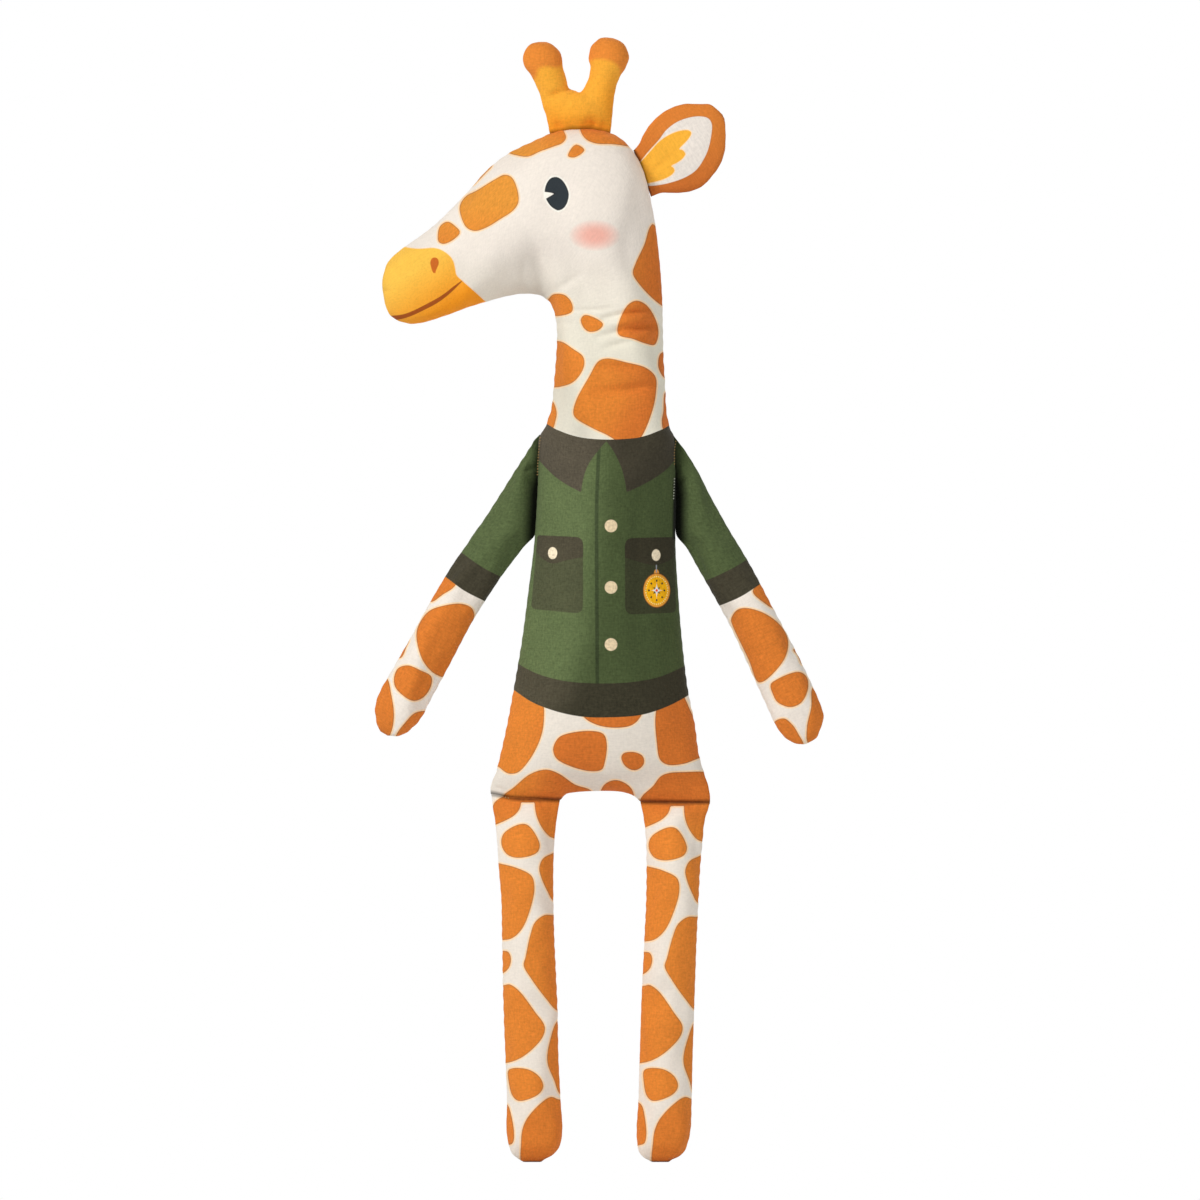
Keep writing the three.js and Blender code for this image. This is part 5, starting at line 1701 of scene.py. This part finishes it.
def floor_finish():
    """White, lit from above, with enough glow of its own to reach white while it keeps the object's shadow."""
    finish = Finish("white_floor")
    matt = finish.node("ShaderNodeBsdfDiffuse", inputs={"Color": FLOOR_GREY})
    glow = finish.node("ShaderNodeEmission", inputs={"Color": WHITE, "Strength": FLOOR_GLOW})
    both = finish.node("ShaderNodeAddShader", inputs={0: matt.outputs[0], 1: glow.outputs[0]})
    chosen = finish.node("ShaderNodeMixShader", inputs={
        0: seen_directly(finish), 1: matt.outputs[0], 2: both.outputs[0]})
    finish.node("ShaderNodeOutputMaterial", inputs={0: chosen.outputs[0]})
    return finish.material


def add_surroundings(scene):
    """White all round, which lights the object only softly."""
    scene.world = bpy.data.worlds.new("studio")
    finish = Finish("studio", scene.world)
    soft = finish.node("ShaderNodeBackground", inputs={"Color": WHITE, "Strength": AMBIENT})
    white = finish.node("ShaderNodeBackground", inputs={"Color": WHITE, "Strength": 1.0})
    chosen = finish.node("ShaderNodeMixShader", inputs={
        0: seen_directly(finish), 1: soft.outputs[0], 2: white.outputs[0]})
    finish.node("ShaderNodeOutputWorld", inputs={0: chosen.outputs[0]})


def colour_setting(name, description, hex_colour):
    """A colour that a user may change."""
    return bpy.props.FloatVectorProperty(
        name=name, description=description, subtype="COLOR", size=4, min=0, max=1, default=linear(hex_colour))


class GiraffeColours(bpy.types.PropertyGroup):
    """Colours of the printed cloth."""
    cream: colour_setting("Cream", "Ground of the head and arms", "#F2E8DC")
    neck_cream: colour_setting("Neck cream", "Ground of the lower head and neck", "#EAE4D2")
    hip_cream: colour_setting("Hip cream", "Ground of the hips", "#ECE3D6")
    leg_cream: colour_setting("Leg cream", "Ground of the legs", "#F0E6D9")
    patch: colour_setting("Patch", "Giraffe patches", "#E28533")
    patch_light: colour_setting("Patch, forehead", "Giraffe patches on the forehead", "#E4963A")
    patch_rim: colour_setting("Patch rim", "Darker edge of the patches", "#B9763A")
    patch_line: colour_setting("Patch line", "Pale line round the patches", "#FFDDB2")
    amber: colour_setting("Muzzle", "Upper muzzle", "#FBC44F")
    amber_low: colour_setting("Lower muzzle", "Muzzle towards the chin", "#FF9E20")
    mouth: colour_setting("Mouth", "Line of the mouth", "#A9541F")
    nostril: colour_setting("Nostril", "Nostril", "#CC6A27")
    eye: colour_setting("Eye", "Eye", "#33393D")
    eye_rim: colour_setting("Eye rim", "Darker edge of the eye", "#2F3133")
    eye_ring: colour_setting("Eye ring", "Pale ring round the eye", "#FBF6EA")
    blush: colour_setting("Blush", "Soft spot on the cheek", "#F4A08C")
    jacket: colour_setting("Jacket", "Jacket and sleeves", "#627148")
    collar: colour_setting("Collar", "Collar of the jacket", "#575042")
    trim: colour_setting("Hem", "Hem of the jacket", "#4F4A3A")
    cuff: colour_setting("Cuffs", "Cuffs of the sleeves", "#4C4738")
    # Painted shade: what the jacket's and the patches' colours are multiplied by on their shaded side.
    jacket_lee: colour_setting("Jacket, darker side", "Multiplies the jacket's colours on its darker side", "#C1C3BD")
    patch_lee: colour_setting("Patch, darker side", "Multiplies the patches' colour on their darker side", "#F1E1EB")
    placket: colour_setting("Placket", "Line down the front", "#4A5638")
    pocket: colour_setting("Pocket", "Pockets", "#52553C")
    flap: colour_setting("Pocket flap", "Flaps of the pockets", "#4E4939")
    button: colour_setting("Buttons", "Front buttons", "#E4CEA8")
    pocket_button: colour_setting("Pocket buttons", "Buttons of the pockets", "#F6E6C6")
    compass_rim: colour_setting("Compass rim", "Rim and ring of the compass", "#F2A342")
    compass_edge: colour_setting("Compass edge", "Dark edge of the compass", "#7A4A22")
    dial: colour_setting("Dial", "Dial of the compass", "#FFBC14")
    tick: colour_setting("Ticks", "Fine ticks of the dial", "#FFF1C4")
    mark: colour_setting("Marks", "Dark marks of the dial", "#26282A")
    needle: colour_setting("Needle", "Four-pointed needle", "#FFFDF6")
    hub: colour_setting("Hub", "Middle of the needle", "#F0341C")
    chain: colour_setting("Chain", "Chain of the compass", "#9C9FA6")
    horn: colour_setting("Horns", "Stalks of the horns", "#F6AC3A")
    horn_low: colour_setting("Horns below", "Foot of the horns", "#F5941A")
    knob: colour_setting("Knobs", "Knobs of the horns", "#E78A36")
    ear_border: colour_setting("Ear border", "Border of the ear", "#DD8135")
    ear_low: colour_setting("Ear border below", "Lower border of the ear", "#C76C2D")
    ear_cream: colour_setting("Ear cream", "Inside of the ear", "#EAE1D7")
    ear_amber: colour_setting("Ear tuft", "Tuft in the ear", "#F8B33C")
    thread: colour_setting("Thread", "Golden stitches on the shoulders and hip", "#94763C")
    pale_thread: colour_setting("Pale thread", "Lower stitches of the left shoulder", "#9A9C8C")


def length_setting(name, description, metres):
    """A length that a user may change."""
    return bpy.props.FloatProperty(
        name=name, description=description, unit="LENGTH", precision=5, min=0, default=metres)


class GiraffeSizes(bpy.types.PropertyGroup):
    """Sizes of the sewing and of the print's buttons."""
    weave: length_setting("Weave", "Two threads of the cloth", 0.00062)
    seam_groove: length_setting("Seam groove", "Depth of the groove along the seams", 0.0004)
    lump_height: length_setting("Filling", "Height of the lumps that the filling makes", 0.00055)
    button_radius: length_setting("Button radius", "Radius of the printed front buttons", 0.00378)
    stitch_length: length_setting("Stitch length", "Length of a stitch", 0.00096)
    stitch_width: length_setting("Stitch width", "Thickness of a stitch", 0.0008)
    stitch_pitch: length_setting("Stitch pitch", "From one stitch to the next", 0.0017)


class GIRAFFE_OT_add_stage(bpy.types.Operator):
    """Adds the camera, lamps, surroundings and floor"""
    bl_idname = "giraffe.add_stage"
    bl_label = "Add stage"
    bl_options = {"REGISTER", "UNDO"}

    def execute(self, context):
        add_stage()
        return {"FINISHED"}


class GIRAFFE_OT_add_torso(bpy.types.Operator):
    """Adds the stuffed torso in its printed jacket"""
    bl_idname = "giraffe.add_torso"
    bl_label = "Add torso"
    bl_options = {"REGISTER", "UNDO"}

    def execute(self, context):
        add_torso()
        return {"FINISHED"}


class GIRAFFE_OT_add_head_and_neck(bpy.types.Operator):
    """Adds the stuffed head and neck"""
    bl_idname = "giraffe.add_head_and_neck"
    bl_label = "Add head and neck"
    bl_options = {"REGISTER", "UNDO"}

    def execute(self, context):
        add_head_and_neck()
        return {"FINISHED"}


class GIRAFFE_OT_add_horns(bpy.types.Operator):
    """Adds the two horns on their shared foot"""
    bl_idname = "giraffe.add_horns"
    bl_label = "Add horns"
    bl_options = {"REGISTER", "UNDO"}

    def execute(self, context):
        add_horns()
        return {"FINISHED"}


class GIRAFFE_OT_add_ear(bpy.types.Operator):
    """Adds the ear"""
    bl_idname = "giraffe.add_ear"
    bl_label = "Add ear"
    bl_options = {"REGISTER", "UNDO"}

    def execute(self, context):
        add_ear()
        return {"FINISHED"}


class GIRAFFE_OT_add_arms(bpy.types.Operator):
    """Adds the two arms in their sleeves"""
    bl_idname = "giraffe.add_arms"
    bl_label = "Add arms"
    bl_options = {"REGISTER", "UNDO"}

    def execute(self, context):
        add_arms()
        return {"FINISHED"}


class GIRAFFE_OT_add_legs(bpy.types.Operator):
    """Adds the two legs"""
    bl_idname = "giraffe.add_legs"
    bl_label = "Add legs"
    bl_options = {"REGISTER", "UNDO"}

    def execute(self, context):
        add_legs()
        return {"FINISHED"}


class GIRAFFE_OT_add_stitches(bpy.types.Operator):
    """Adds the stitches on the shoulders and the hip"""
    bl_idname = "giraffe.add_stitches"
    bl_label = "Add stitches"
    bl_options = {"REGISTER", "UNDO"}

    def execute(self, context):
        add_stitches()
        return {"FINISHED"}


OPERATORS = [
    GIRAFFE_OT_add_stage,
    GIRAFFE_OT_add_torso,
    GIRAFFE_OT_add_head_and_neck,
    GIRAFFE_OT_add_horns,
    GIRAFFE_OT_add_ear,
    GIRAFFE_OT_add_arms,
    GIRAFFE_OT_add_legs,
    GIRAFFE_OT_add_stitches,
]


class GIRAFFE_PT_pieces(bpy.types.Panel):
    """Lists the pieces, their sizes and the colours of the cloth."""
    bl_label = "Stuffed giraffe"
    bl_idname = "GIRAFFE_PT_pieces"
    bl_space_type = "VIEW_3D"
    bl_region_type = "UI"
    bl_category = "Giraffe"

    def draw(self, context):
        for operator in OPERATORS:
            self.layout.operator(operator.bl_idname)
        for group, settings in ((GiraffeSizes, context.scene.giraffe_sizes),
                                (GiraffeColours, context.scene.giraffe_colours)):
            for name in group.__annotations__:
                self.layout.prop(settings, name)


CLASSES = [GiraffeSizes, GiraffeColours, *OPERATORS, GIRAFFE_PT_pieces]


def register():
    for each in CLASSES:
        bpy.utils.register_class(each)
    bpy.types.Scene.giraffe_sizes = bpy.props.PointerProperty(type=GiraffeSizes)
    bpy.types.Scene.giraffe_colours = bpy.props.PointerProperty(type=GiraffeColours)


def unregister():
    del bpy.types.Scene.giraffe_sizes
    del bpy.types.Scene.giraffe_colours
    for each in reversed(CLASSES):
        bpy.utils.unregister_class(each)


def main():
    """Makes the whole giraffe."""
    register()
    bpy.ops.giraffe.add_stage()
    bpy.ops.giraffe.add_torso()
    bpy.ops.giraffe.add_head_and_neck()
    bpy.ops.giraffe.add_horns()
    bpy.ops.giraffe.add_ear()
    bpy.ops.giraffe.add_arms()
    bpy.ops.giraffe.add_legs()
    bpy.ops.giraffe.add_stitches()


if __name__ == "__main__":
    main()
